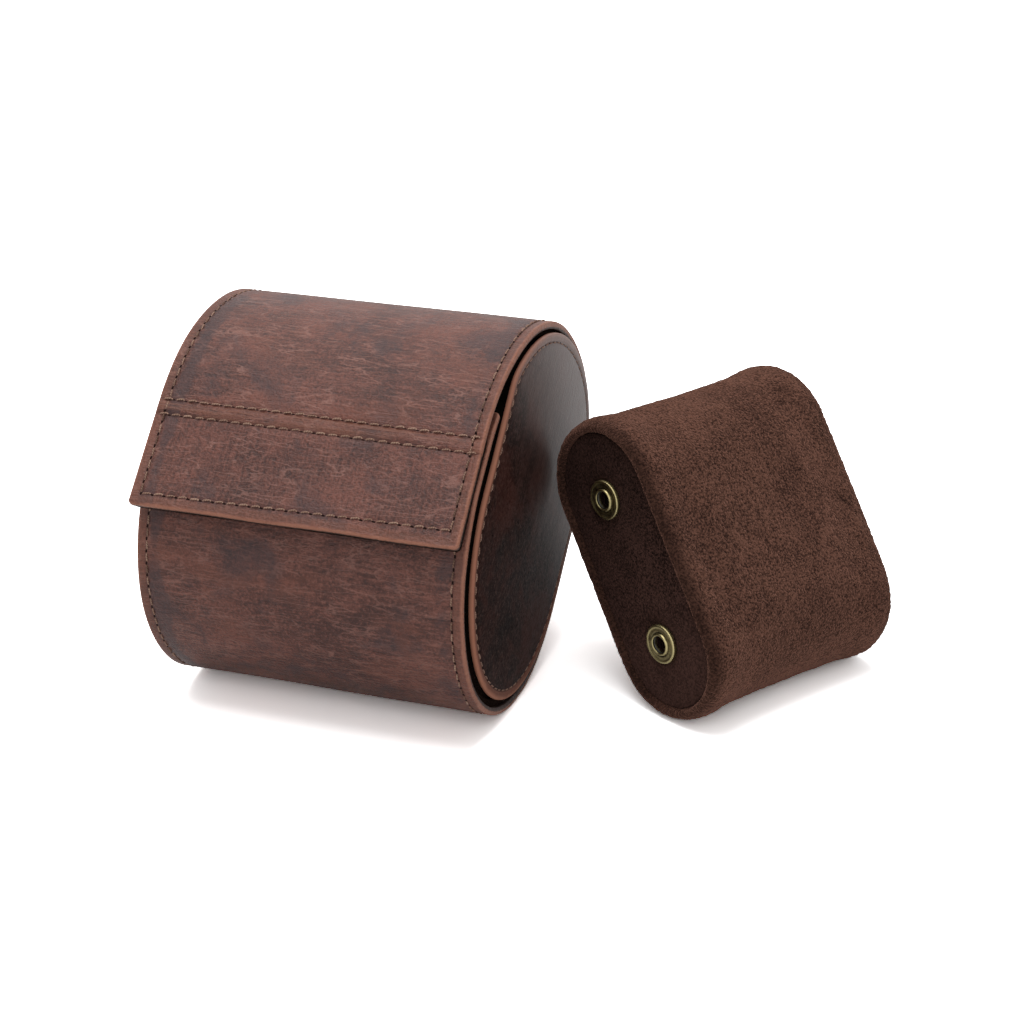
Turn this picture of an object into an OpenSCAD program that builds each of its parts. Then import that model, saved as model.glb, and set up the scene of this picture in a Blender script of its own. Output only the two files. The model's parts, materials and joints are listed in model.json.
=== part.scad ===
// Travel case for one wristwatch, with its watch pillow standing beside it.
//
// The case is an oval tube of lined leather, closed at each end by a sewn panel. Its
// wrap runs up the front, stops, and comes back over the top from behind as a lid
// that ends in a magnetic flap. The wrap is one strip of leather, parted here at its
// two folds, which are its hinges.
//
// +Z is up, X runs along the case, and -Y is the flap's side. The origin is the
// middle of the flat that the case rests on.
//
// The section is drawn in its own plane: its first axis runs up along the straight back,
// its second axis points out through the flap, and its zero is the centre of the lower
// round. The section is fuller below than above, and the lid's front is its flattest arc.

/* [Case] */
// Length of the wrap from edge to edge
case_len = 82.8; // [78:0.2:94]
// Outer radius of the lower round
low_r = 40.1; // [39:0.1:42]
// Outer radius of the upper round, at the back of the lid
up_r = 31.6; // [30.5:0.1:33]
// Length of the straight back between the two rounds
back_len = 28.6; // [27:0.2:30.5]
// Angle of the straight back above the ground
case_tilt = 44.3; // [40:0.5:48]
// How far the lower round is pressed flat where the case rests
rest_sag = 0.45; // [0.25:0.05:0.8]
// How far the front wall runs up under the lid, past the flap's fold
front_tuck = 8.5; // [7.5:0.1:11]

/* [Wrap layers] */
// Leather of the wrap
leather_t = 2; // [1.6:0.1:2.4]
// Stiffener board in the wrap
board_t = 1; // [0.7:0.1:1.4]
// Suede lining of the wrap
lining_t = 0.8; // [0.6:0.1:1.1]
// Sewn margin without board along the edges of the wrap
sewn_margin = 5; // [4:0.5:7]
// How far the lining stops short of the leather's edge
lining_inset = 0.3; // [0.1:0.1:0.8]
// Thickness of the glue line between two layers
glue = 0.04; // [0.02:0.01:0.08]

/* [Lid] */
// Angle at which the lid's back round gives way to its flatter front
lid_leave = -9.7; // [-14:0.1:-6]
// Air between the closed lid and the front wall that it covers
lid_air = 0.4; // [0.3:0.05:0.8]
// Open line at each fold of the wrap
fold_gap = 0.3; // [0.2:0.05:0.5]

/* [Flap] */
// Length of the flap from its fold to its free edge
flap_len = 28; // [27:0.1:32]
// Stiffener board in the flap
flap_board_t = 0.7; // [0.5:0.1:1]
// Soft strip without board between the fold and that board
flap_bend = 6; // [5:0.5:6.5]
// Air between the closed flap and the body, where they are closest
flap_air = 0.33; // [0.25:0.01:0.6]

/* [Magnets] */
// Radius of a magnet
magnet_r = 5; // [4:0.5:6]
// Thickness of a magnet
magnet_t = 0.6; // [0.4:0.1:0.6]
// Distance between the two magnets of a row
magnet_gap = 46; // [36:1:54]

/* [End panels] */
// Clear line between the panel and the lining round it
panel_gap = 0.9; // [0.6:0.1:1.4]
// How far the panel sits back from the front wall
panel_drop = 0.5; // [0.1:0.1:0.5]
// How far the panel stands out past the wrap's edge
panel_proud = 0.9; // [0.3:0.1:1.4]
// Leather of the panel
panel_leather_t = 1.8; // [1.4:0.1:2.2]
// Board of the panel
panel_board_t = 1.5; // [1.2:0.1:2]
// Sewn margin round the panel's board
panel_margin = 3.6; // [3:0.2:5]
// Width of each leg of the band that ties a panel to the body
band_w = 7; // [5:0.5:9]
// Thickness of that band
band_t = 0.8; // [0.5:0.1:1.1]

/* [Pillow] */
// Width of the pillow, which the watch strap goes round
pillow_w = 62.4; // [54:0.2:68]
// Thickness of the pillow
pillow_t = 36.4; // [32:0.2:40]
// Distance between the centres of its two rounds
pillow_round_gap = 41.5; // [36:0.5:46]
// Padded suede of the sleeve
sleeve_t = 3.2; // [2.4:0.1:4]
// How far the end discs sit inside the sleeve's lip
disc_inset = 1.2; // [0.8:0.1:2]
// Suede of the end discs
disc_t = 1; // [0.8:0.1:1.4]
// Board behind the end discs
disc_board_t = 1.6; // [1.2:0.1:2.2]
// Clear line round the discs and the foam
disc_gap = 0.1; // [0.05:0.05:0.3]
// Turn of the pillow from the case's cross direction
pillow_yaw = 31.5; // [26:0.5:36]
// Lean of the pillow towards the case
pillow_lean = 34.4; // [28:0.2:40]
// Place of the pillow's socket end across the case
pillow_y = 7.1; // [4:0.1:12]
// Air between the pillow and the panel that it leans on
pillow_air = 0.3; // [0.2:0.05:0.5]

/* [Snap fasteners] */
// Distance between the two snaps of a pair
snap_gap = 37.8; // [34:0.2:42]
// Outer radius of a socket
socket_r = 5; // [4.5:0.1:5.5]
// Height of a socket above the suede
socket_h = 1.6; // [1.4:0.1:2]
// Radius of the hole in a socket
socket_hole_r = 2.2; // [2:0.1:2.4]
// Radius of the wire of the ring spring
spring_wire_r = 0.22; // [0.18:0.01:0.25]
// Radius of the cap that holds a socket from behind
cap_r = 5.8; // [5.2:0.1:6.5]
// Thickness of caps and post flanges
cap_t = 0.6; // [0.5:0.05:0.8]
// Radius of a stud's base
stud_r = 4.8; // [4.2:0.1:5.4]
// Height of a stud above the lining
stud_h = 3.4; // [3:0.1:4]
// Radius of the rivet post that holds a stud
post_r = 1.2; // [1:0.1:1.3]
// Distance of the studs behind the centre of the lower round
stud_drop = 9; // [6:0.5:11]
// Clearance of a pressed or riveted part in its hole
rivet_fit = 0.04; // [0.02:0.01:0.08]

/* [Hidden] */
$fn = 96;

leather_color = [0.27, 0.14, 0.11];
suede_color = [0.17, 0.10, 0.08];
board_color = [0.62, 0.52, 0.40];
foam_color = [0.80, 0.78, 0.70];
brass_color = [0.62, 0.52, 0.30];
steel_color = [0.66, 0.66, 0.68];

cut_over = 1;      // how far a cutting solid runs past what it cuts
arc_overlap = 0.2; // how far two tangent arcs run into each other, in degrees

wall_t = leather_t + board_t + lining_t;
upper_centre = [back_len, up_r - low_r];
half_fold = fold_gap / 2;

// The lid's front is an arc that leaves the back round without a corner and ends at the
// flap's fold, where its lining clears the front wall by lid_air.
fold_height = low_r + lid_air + wall_t;
leave_sin = sin(lid_leave);
lid_front_r = (fold_height - upper_centre[1] - up_r * leave_sin) / (1 - leave_sin);
front_centre = upper_centre + (up_r - lid_front_r) * [cos(lid_leave), leave_sin];
flap_fold = [front_centre[0], fold_height];

// Under the lid, the front wall bends in about the same centre.
front_bend_r = lid_front_r - wall_t - lid_air;

// The flap is the plane through its fold that clears the lower round by flap_air.
flap_t = leather_t + flap_board_t + lining_t;
flap_plane = low_r + flap_air + flap_t;
fold_angle = atan2(flap_fold[1], flap_fold[0]);
fold_swing = acos(flap_plane / norm(flap_fold));
flap_normal = fold_angle + fold_swing;

// The flap's magnets sit in the middle of its board, and the body's magnets face them.
flap_board_end = flap_len - sewn_margin;
magnet_along = (flap_bend + flap_board_end) / 2;
magnet_point = flap_fold + magnet_along * [-sin(flap_normal), cos(flap_normal)];
magnet_angle = atan2(magnet_point[1], magnet_point[0]);

// The flap leans in from the lid at its fold, so each layer starts where its own depth
// clears the lid's end.
function fold_start(depth) = half_fold + depth * tan(flap_normal - 90);

panel_face = case_len / 2 + panel_proud;
panel_inset = wall_t + panel_gap;
panel_t = panel_leather_t + panel_board_t + lining_t;
panel_inner = panel_face - panel_t;
stud_mid = [back_len / 2, -stud_drop];

pillow_r = pillow_t / 2;
disc_r = pillow_r - sleeve_t - disc_gap;
pillow_reach = cos(pillow_yaw) * (pillow_round_gap / 2 * sin(pillow_lean) + pillow_r);
pillow_x = panel_face + pillow_air + pillow_reach;
pillow_z = pillow_round_gap / 2 * cos(pillow_lean) + pillow_r;
board_back = disc_inset + disc_t + disc_board_t;
spring_r = socket_hole_r + spring_wire_r / 2;

// ---- frames -------------------------------------------------------------------

// Case frame: X along the case, Y up along its straight back, Z out through the flap
module case_frame() {
    translate([0, 0, low_r - rest_sag]) rotate([case_tilt, 0, 0]) children();
}

// Flap frame: the fold is its X axis, the flap lies towards -Y, and +Z is outwards
module flap_frame() {
    case_frame() translate([0, flap_fold[0], flap_fold[1]])
        rotate([flap_normal - 90, 0, 0]) children();
}

// Pillow frame: X out of its flat side, Y up its length, Z out of its socket end
module pillow_frame() {
    translate([pillow_x, pillow_y, pillow_z])
        rotate([0, 0, -pillow_yaw]) rotate([0, -pillow_lean, 0]) rotate([90, 0, 0]) children();
}

module extrude_x(length) {
    rotate([90, 0, 90]) linear_extrude(length, center = true) children();
}

// ---- sections -----------------------------------------------------------------

module oval(radius, gap) {
    circle(radius);
    translate([gap, 0]) circle(radius);
    translate([0, -radius]) square([gap, 2 * radius]);
}

// A ring between two radii, kept between two angles less than 180 degrees apart
module arc_band(r_out, r_in, from, to) {
    reach = 2 * r_out;
    mid = (from + to) / 2;
    intersection() {
        difference() {
            circle(r_out);
            circle(r_in);
        }
        polygon([
            [0, 0],
            reach * [cos(from), sin(from)],
            reach * [cos(mid), sin(mid)],
            reach * [cos(to), sin(to)]
        ]);
    }
}

// The body's wall between two depths below the leather's face, pulled back from the
// front edge and from the lid's fold. It is straight at the back and up to the flap's
// fold at the front.
module body_section(top, bottom, edge_back = 0, fold_back = 0) {
    tuck_turn = asin((front_tuck - edge_back) / front_bend_r);
    arc_band(low_r - top, low_r - bottom, 90, 180);
    arc_band(low_r - top, low_r - bottom, 180, 270);
    translate([0, low_r - bottom]) square([front_centre[0], bottom - top]);
    translate(front_centre)
        arc_band(front_bend_r - top, front_bend_r - bottom, 90 - tuck_turn, 90);
    translate([0, top - low_r]) square([back_len - half_fold - fold_back, bottom - top]);
}

// The lid's wall between two depths, pulled back from both of its folds
module lid_section(top, bottom, back = 0) {
    hinge_turn = atan((half_fold + back) / (up_r - wall_t));
    fold_turn = atan((half_fold + back) / lid_front_r);
    translate(upper_centre)
        arc_band(up_r - top, up_r - bottom, -90 + hinge_turn, lid_leave);
    translate(front_centre)
        arc_band(lid_front_r - top, lid_front_r - bottom, lid_leave - arc_overlap, 90 - fold_turn);
}

// ---- body ---------------------------------------------------------------------

module body_magnet_places() {
    for (side = [-1, 1])
        rotate([magnet_angle, 0, 0])
            translate([side * magnet_gap / 2, low_r - leather_t - board_t / 2, 0])
                rotate([90, 0, 0]) children();
}

module magnet(room = 0) {
    cylinder(r = magnet_r + room, h = magnet_t + 2 * room, center = true);
}

// The hole for a magnet, right through its board
module magnet_hole() {
    cylinder(r = magnet_r + glue, h = 2 * board_t + 2 * cut_over, center = true);
}

module body_leather() {
    color(leather_color) difference() {
        case_frame() difference() {
            extrude_x(case_len) body_section(0, leather_t);
            body_magnet_places() magnet(glue);
        }
        translate([0, 0, -low_r]) cube([2 * case_len, 2 * low_r, 2 * low_r], center = true);
    }
}

module body_board() {
    color(board_color) case_frame() difference() {
        extrude_x(case_len - 2 * sewn_margin)
            body_section(leather_t + glue, leather_t + board_t, sewn_margin, sewn_margin);
        body_magnet_places() magnet_hole();
    }
}

module body_lining() {
    pocket_margin = sewn_margin - glue;
    color(suede_color) case_frame() difference() {
        extrude_x(case_len - 2 * lining_inset)
            body_section(leather_t + glue, wall_t, lining_inset);
        extrude_x(case_len - 2 * pocket_margin)
            body_section(leather_t - cut_over, leather_t + board_t + glue, pocket_margin, pocket_margin);
        body_magnet_places() magnet(glue);
    }
}

module body_magnets() {
    color(steel_color) case_frame() body_magnet_places() magnet();
}

// ---- end panels ---------------------------------------------------------------

// The outline of an end panel, at one distance inside the wrap's outer face
module panel_outline(inset) {
    low = low_r - inset;
    front = lid_front_r - inset;
    translate([0, -panel_drop]) intersection() {
        union() {
            circle(low);
            translate([0, -low]) square([back_len, 2 * low]);
            translate(upper_centre) circle(up_r - inset);
            translate(front_centre) arc_band(front, front / 4, lid_leave, 90);
        }
        translate([-low, -low]) square([4 * low, 2 * low]);
    }
}

// A plate in an end panel, from one depth below the panel's face to another
module end_plate(side, inset, top, bottom) {
    mirror([side < 0 ? 1 : 0, 0, 0])
        translate([panel_face - bottom, 0, 0]) rotate([90, 0, 90]) linear_extrude(bottom - top)
            panel_outline(inset);
}

// Places on the left panel's inner face, with Z pointing into the case
module stud_places() {
    for (along = [-1, 1])
        translate([-panel_inner, stud_mid[0] + along * snap_gap / 2, stud_mid[1]])
            rotate([0, 90, 0]) children();
}

module post_hole(room) {
    translate([0, 0, -panel_t]) cylinder(r = post_r + room, h = 2 * panel_t);
}

module post_flange(room) {
    translate([0, 0, -lining_t - panel_board_t - room])
        cylinder(r = stud_r + room, h = cap_t + 2 * room);
}

module panel_leather(side) {
    color(leather_color) case_frame() end_plate(side, panel_inset, 0, panel_leather_t);
}

module panel_board(side) {
    color(board_color) case_frame() difference() {
        end_plate(side, panel_inset + panel_margin, panel_leather_t + glue,
            panel_leather_t + panel_board_t);
        if (side < 0) stud_places() {
            post_hole(rivet_fit);
            post_flange(rivet_fit);
        }
    }
}

module panel_lining(side) {
    color(suede_color) case_frame() difference() {
        end_plate(side, panel_inset + lining_inset, panel_leather_t + glue, panel_t);
        end_plate(side, panel_inset + panel_margin - glue, panel_leather_t - cut_over,
            panel_leather_t + panel_board_t + glue);
        if (side < 0) stud_places() post_hole(rivet_fit);
    }
}

// Suede band that ties a panel to the body: one leg on the wrap's lining and one on
// the panel's inner face
module corner_band(side) {
    wrap_face = wall_t + glue;
    color(suede_color) case_frame() mirror([side < 0 ? 1 : 0, 0, 0]) {
        translate([panel_inner - band_w / 2 - glue, 0, 0]) extrude_x(band_w)
            body_section(wrap_face, wrap_face + band_t, sewn_margin, sewn_margin);
        translate([panel_inner - band_t / 2 - glue, 0, 0]) extrude_x(band_t)
            body_section(wrap_face, wrap_face + band_w, sewn_margin, sewn_margin);
    }
}

// A stud: flared base, neck and rounded head, with a blind hole for its post
module snap_studs() {
    neck_r = socket_hole_r - 3 * spring_wire_r;
    head_r = socket_hole_r - spring_wire_r / 2;
    base_h = 0.7;
    color(brass_color) case_frame() stud_places() difference() {
        rotate_extrude() polygon([
            [0, glue],
            [stud_r, glue],
            [stud_r, base_h * 0.6],
            [stud_r - 0.5, base_h],
            [neck_r + 0.6, base_h + 0.15],
            [neck_r, base_h + 0.6],
            [neck_r, stud_h - 1.2],
            [head_r, stud_h - 0.8],
            [head_r, stud_h - 0.45],
            [head_r - 0.5, stud_h],
            [0, stud_h]
        ]);
        translate([0, 0, -cut_over]) cylinder(r = post_r + rivet_fit, h = stud_h - 1 + cut_over);
    }
}

module stud_posts() {
    post_end = stud_h - 1 - 2 * rivet_fit;
    color(steel_color) case_frame() stud_places() {
        translate([0, 0, -lining_t - panel_board_t]) cylinder(r = stud_r, h = cap_t - glue);
        translate([0, 0, -lining_t - panel_board_t])
            cylinder(r = post_r, h = lining_t + panel_board_t + post_end);
    }
}

// ---- lid ----------------------------------------------------------------------

module lid_leather() {
    color(leather_color) case_frame() extrude_x(case_len) lid_section(0, leather_t);
}

module lid_board() {
    color(board_color) case_frame() extrude_x(case_len - 2 * sewn_margin)
        lid_section(leather_t + glue, leather_t + board_t, sewn_margin);
}

module lid_lining() {
    pocket_margin = sewn_margin - glue;
    color(suede_color) case_frame() difference() {
        extrude_x(case_len - 2 * lining_inset) lid_section(leather_t + glue, wall_t);
        extrude_x(case_len - 2 * pocket_margin)
            lid_section(leather_t - cut_over, leather_t + board_t + glue, pocket_margin);
    }
}

// ---- flap ---------------------------------------------------------------------

// A flat piece of the flap: where it starts and ends below the fold, and its depths
module flap_slab(start, end, top, bottom, margin = 0) {
    translate([margin - case_len / 2, -end, -bottom])
        cube([case_len - 2 * margin, end - start, bottom - top]);
}

module flap_magnet_places() {
    for (side = [-1, 1])
        translate([side * magnet_gap / 2, -magnet_along, -leather_t - flap_board_t / 2]) children();
}

module flap_leather() {
    color(leather_color) flap_frame() difference() {
        flap_slab(fold_start(leather_t), flap_len, 0, leather_t);
        flap_magnet_places() magnet(glue);
    }
}

module flap_board() {
    color(board_color) flap_frame() difference() {
        flap_slab(flap_bend, flap_board_end, leather_t + glue,
            leather_t + flap_board_t, sewn_margin);
        flap_magnet_places() magnet_hole();
    }
}

module flap_lining() {
    color(suede_color) flap_frame() difference() {
        flap_slab(fold_start(flap_t), flap_len - lining_inset, leather_t + glue, flap_t, lining_inset);
        flap_slab(flap_bend - glue, flap_board_end + glue, leather_t - cut_over,
            leather_t + flap_board_t + glue, sewn_margin - glue);
        flap_magnet_places() magnet(glue);
    }
}

module flap_magnets() {
    color(steel_color) flap_frame() flap_magnet_places() magnet();
}

// ---- pillow -------------------------------------------------------------------

// A plate of the pillow between two depths below its socket end
module pillow_plate(radius, top, bottom) {
    translate([0, 0, -bottom]) linear_extrude(bottom - top) rotate(90)
        translate([-pillow_round_gap / 2, 0]) oval(radius, pillow_round_gap);
}

// Places on the near disc's face, with Z pointing out of the pillow
module socket_places() {
    for (side = [-1, 1])
        translate([0, side * snap_gap / 2, -disc_inset]) children();
}

module eyelet_hole() {
    translate([0, 0, -board_back]) cylinder(r = socket_hole_r + rivet_fit, h = board_back + cut_over);
}

module pillow_foam() {
    color(foam_color) pillow_frame() difference() {
        pillow_plate(disc_r, board_back + glue, pillow_w - board_back - glue);
        socket_places() translate([0, 0, disc_inset - board_back - cap_t - glue])
            cylinder(r = cap_r + glue, h = cap_t + glue + cut_over);
    }
}

module pillow_sleeve() {
    color(suede_color) pillow_frame() difference() {
        pillow_plate(pillow_r, 0, pillow_w);
        pillow_plate(pillow_r - sleeve_t, -cut_over, pillow_w + cut_over);
    }
}

module pillow_disc_near() {
    color(suede_color) pillow_frame() difference() {
        pillow_plate(disc_r, disc_inset, disc_inset + disc_t);
        socket_places() eyelet_hole();
    }
}

module pillow_disc_far() {
    color(suede_color) pillow_frame()
        pillow_plate(disc_r, pillow_w - disc_inset - disc_t, pillow_w - disc_inset);
}

module pillow_board_near() {
    color(board_color) pillow_frame() difference() {
        pillow_plate(disc_r, disc_inset + disc_t + glue, board_back);
        socket_places() eyelet_hole();
    }
}

module pillow_board_far() {
    color(board_color) pillow_frame()
        pillow_plate(disc_r, pillow_w - board_back, pillow_w - disc_inset - disc_t - glue);
}

// A socket: beaded outer rim, dished face and raised collar round its hole, with a
// groove inside for the ring spring
module snap_sockets() {
    bead = 0.3;
    dish_h = socket_h * 0.6;
    collar_r = socket_hole_r + 1;
    groove_mid = socket_h * 0.5;
    groove_half = spring_wire_r + rivet_fit;
    groove_r = spring_r + groove_half;
    color(brass_color) pillow_frame() socket_places() rotate_extrude() polygon([
        [socket_hole_r, glue],
        [socket_r - bead, glue],
        [socket_r, glue + bead],
        [socket_r, dish_h],
        [socket_r - bead, dish_h + bead],
        [socket_r - 2 * bead, dish_h + bead],
        [socket_r - 3 * bead, dish_h],
        [collar_r, dish_h * 0.9],
        [collar_r - 0.2, socket_h - 0.15],
        [collar_r - 0.5, socket_h],
        [socket_hole_r + 0.15, socket_h],
        [socket_hole_r, socket_h - 0.15],
        [socket_hole_r, groove_mid + groove_half],
        [groove_r, groove_mid + groove_half],
        [groove_r, groove_mid - groove_half],
        [socket_hole_r, groove_mid - groove_half]
    ]);
}

module socket_springs() {
    color(steel_color) pillow_frame() socket_places()
        translate([0, 0, socket_h * 0.5]) rotate_extrude()
            translate([spring_r, 0]) circle(spring_wire_r, $fn = 24);
}

// Cap behind the board, with an eyelet that runs forward to the socket
module socket_caps() {
    eyelet_wall = 0.4;
    color(brass_color) pillow_frame() socket_places() difference() {
        union() {
            translate([0, 0, disc_inset - board_back - cap_t]) cylinder(r = cap_r, h = cap_t - glue);
            translate([0, 0, disc_inset - board_back - cap_t])
                cylinder(r = socket_hole_r, h = board_back - disc_inset + cap_t);
        }
        translate([0, 0, disc_inset - board_back])
            cylinder(r = socket_hole_r - eyelet_wall, h = board_back + cut_over);
    }
}

// ---- the part -----------------------------------------------------------------

body_leather();
body_board();
body_lining();
body_magnets();
panel_leather(-1);  // panel_leather_left
panel_leather(1);  // panel_leather_right
panel_board(-1);  // panel_board_left
panel_board(1);  // panel_board_right
panel_lining(-1);  // panel_lining_left
panel_lining(1);  // panel_lining_right
corner_band(-1);  // corner_band_left
corner_band(1);  // corner_band_right
snap_studs();
stud_posts();
lid_leather();
lid_board();
lid_lining();
flap_leather();
flap_board();
flap_lining();
flap_magnets();
pillow_foam();
pillow_sleeve();
pillow_disc_near();
pillow_disc_far();
pillow_board_near();
pillow_board_far();
snap_sockets();
socket_springs();
socket_caps();
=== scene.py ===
import json
import math

import bmesh
import bpy
import numpy as np
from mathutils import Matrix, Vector


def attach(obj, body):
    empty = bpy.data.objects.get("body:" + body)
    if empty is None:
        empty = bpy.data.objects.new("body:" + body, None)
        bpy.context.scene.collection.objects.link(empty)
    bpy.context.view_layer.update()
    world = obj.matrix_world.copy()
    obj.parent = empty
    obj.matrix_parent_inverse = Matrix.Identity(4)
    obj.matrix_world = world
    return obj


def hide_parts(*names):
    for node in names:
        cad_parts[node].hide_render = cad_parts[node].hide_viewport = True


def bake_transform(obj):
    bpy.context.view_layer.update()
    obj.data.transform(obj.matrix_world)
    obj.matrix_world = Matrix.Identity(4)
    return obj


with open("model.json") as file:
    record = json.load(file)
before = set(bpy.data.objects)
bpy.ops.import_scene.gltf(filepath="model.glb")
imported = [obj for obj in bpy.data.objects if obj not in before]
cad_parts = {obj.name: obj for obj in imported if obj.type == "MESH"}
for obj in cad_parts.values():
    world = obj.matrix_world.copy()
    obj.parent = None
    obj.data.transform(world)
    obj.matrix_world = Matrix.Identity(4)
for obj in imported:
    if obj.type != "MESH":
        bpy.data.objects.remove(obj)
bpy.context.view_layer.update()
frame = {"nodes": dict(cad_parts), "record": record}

MM = 0.001
nodes = frame["nodes"]

# ---- sizes, in millimetres, as in the CAD source ----

CASE_LEN = 82.8
LOW_R = 40.1
UP_R = 31.6
BACK_LEN = 28.6
TILT = math.radians(44.3)
REST_SAG = 0.45
FRONT_TUCK = 8.5
LEATHER_T = 2.0
BOARD_T = 1.0
LINING_T = 0.8
WALL_T = LEATHER_T + BOARD_T + LINING_T
SEWN_MARGIN = 5.0
LID_LEAVE = math.radians(-9.7)
LID_AIR = 0.4
FLAP_LEN = 28.0
FLAP_BOARD_T = 0.7
FLAP_T = LEATHER_T + FLAP_BOARD_T + LINING_T
FLAP_AIR = 0.33
LINING_INSET = 0.3
GLUE = 0.04
PANEL_GAP = 0.9
PANEL_DROP = 0.5
PANEL_PROUD = 0.9
PANEL_LEATHER_T = 1.8
PANEL_BOARD_T = 1.5
PANEL_T = PANEL_LEATHER_T + PANEL_BOARD_T + LINING_T
BAND_W = 7.0
BAND_T = 0.8
PILLOW_W = 62.4
PILLOW_R = 18.2
PILLOW_GAP = 41.5
SLEEVE_T = 3.2
DISC_INSET = 1.2
DISC_T = 1.0
DISC_GAP = 0.1
PILLOW_YAW = math.radians(31.5)
PILLOW_LEAN = math.radians(34.4)
PILLOW_Y = 7.1
PILLOW_AIR = 0.3
SNAP_GAP = 37.8
SOCKET_R = 5.0
SOCKET_HOLE_R = 2.2

HALF_LEN = CASE_LEN / 2
AXIS_Z = LOW_R - REST_SAG
UP_CENTRE = np.array([BACK_LEN, UP_R - LOW_R])
FOLD_HEIGHT = LOW_R + LID_AIR + WALL_T
LEAVE_SIN = math.sin(LID_LEAVE)
LID_FRONT_R = (FOLD_HEIGHT - UP_CENTRE[1] - UP_R * LEAVE_SIN) / (1 - LEAVE_SIN)
FRONT_CENTRE = UP_CENTRE + (UP_R - LID_FRONT_R) * np.array([math.cos(LID_LEAVE), LEAVE_SIN])
FRONT_BEND_R = LID_FRONT_R - WALL_T - LID_AIR
FOLD = np.array([FRONT_CENTRE[0], FOLD_HEIGHT])
FLAP_NORMAL = (math.atan2(FOLD[1], FOLD[0])
               + math.acos((LOW_R + FLAP_AIR + FLAP_T) / math.hypot(*FOLD)))
PANEL_FACE = HALF_LEN + PANEL_PROUD
PANEL_INSET = WALL_T + PANEL_GAP


def to_world(x, s, t):
    """Points of the case's section plane, in millimetres, as an array of metres in the frame."""
    y = s * math.cos(TILT) - t * math.sin(TILT)
    z = AXIS_Z + s * math.sin(TILT) + t * math.cos(TILT)
    return np.stack([np.broadcast_to(x, y.shape), y, z], -1) * MM


def world_st(s, t):
    return tuple(to_world(np.zeros(1), np.array([s]), np.array([t]))[0])


def ray(angle):
    return np.stack([np.cos(angle), np.sin(angle)], -1)


# ---- the line of the wrap, from the front wall's edge round to the flap's free edge ----
# Each stretch is an arc (centre, radius, first angle, last angle) or a straight
# (start, direction, outward direction, length).

tuck_turn = math.asin(FRONT_TUCK / FRONT_BEND_R)
STRETCHES = [
    (FRONT_CENTRE, FRONT_BEND_R, math.pi / 2 - tuck_turn, math.pi / 2),
    (np.array([FRONT_CENTRE[0], LOW_R]), np.array([-1.0, 0.0]), np.array([0.0, 1.0]),
     FRONT_CENTRE[0]),
    (np.zeros(2), LOW_R, math.pi / 2, 3 * math.pi / 2),
    (np.array([0.0, -LOW_R]), np.array([1.0, 0.0]), np.array([0.0, -1.0]), BACK_LEN),
    (UP_CENTRE, UP_R, -math.pi / 2, LID_LEAVE),
    (FRONT_CENTRE, LID_FRONT_R, LID_LEAVE, math.pi / 2),
    (FOLD, ray(FLAP_NORMAL + math.pi / 2), ray(FLAP_NORMAL), FLAP_LEN),
]
lengths = [b * (d - c) if np.isscalar(b) else d for _, b, c, d in STRETCHES]
STARTS = np.concatenate([[0], np.cumsum(lengths)])
# where the lid starts, the flap starts and the flap ends
U_HINGE, U_FOLD, U_END = STARTS[[4, 6, 7]]


def wrap_line(u):
    """Place and outward direction, in the section plane, at each length along the wrap."""
    u = np.asarray(u, float)
    place = np.zeros(u.shape + (2,))
    out = np.zeros(u.shape + (2,))
    which = np.clip(np.searchsorted(STARTS, u, side="right") - 1, 0, len(STRETCHES) - 1)
    for i, (a, b, c, d) in enumerate(STRETCHES):
        here = which == i
        along = u[here] - STARTS[i]
        if np.isscalar(b):
            out[here] = ray(c + along / b)
            place[here] = a + b * out[here]
        else:
            place[here] = a + along[:, None] * b
            out[here] = c
    return place, out


# ---- mesh helpers ----


def smooth_noise(seed, *coords):
    """Soft noise from a few seeded waves, about -1 to 1."""
    rng = np.random.default_rng(seed)
    total = np.zeros(np.broadcast(*coords).shape)
    for _ in range(7):
        k = rng.normal(size=len(coords))
        total = total + np.sin(sum(c * f for c, f in zip(coords, k)) + rng.uniform(0, 2 * math.pi))
    return total / 3.2


def link(name, data):
    """A new object of these data, in the scene."""
    obj = bpy.data.objects.new(name, data)
    bpy.context.scene.collection.objects.link(obj)
    return obj


def fetch(items, key):
    """A vector property of a mesh's items, as rows of an array."""
    values = np.zeros(len(items) * 3)
    items.foreach_get(key, values)
    return values.reshape(-1, 3)


def store_points(mesh, points):
    mesh.vertices.foreach_set("co", points.ravel())
    mesh.update()


def make_mesh(name, verts, faces, attributes=(), flat_from=None):
    """A mesh object from points in metres, with named float or vector point attributes.
    Faces from number flat_from on are flat."""
    mesh = bpy.data.meshes.new(name)
    mesh.from_pydata([tuple(v) for v in verts], [], [tuple(int(i) for i in f) for f in faces])
    shell = bmesh.new()
    shell.from_mesh(mesh)
    bmesh.ops.recalc_face_normals(shell, faces=shell.faces)
    shell.to_mesh(mesh)
    shell.free()
    for key, values in dict(attributes).items():
        values = np.asarray(values, np.float32)
        kind = "FLOAT_VECTOR" if values.ndim == 2 else "FLOAT"
        layer = mesh.attributes.new(key, kind, "POINT")
        layer.data.foreach_set("vector" if values.ndim == 2 else "value", values.ravel())
    smooth = np.ones(len(mesh.polygons), bool)
    if flat_from is not None:
        smooth[flat_from:] = False
    mesh.polygons.foreach_set("use_smooth", smooth)
    mesh.update()
    return link(name, mesh)


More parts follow.
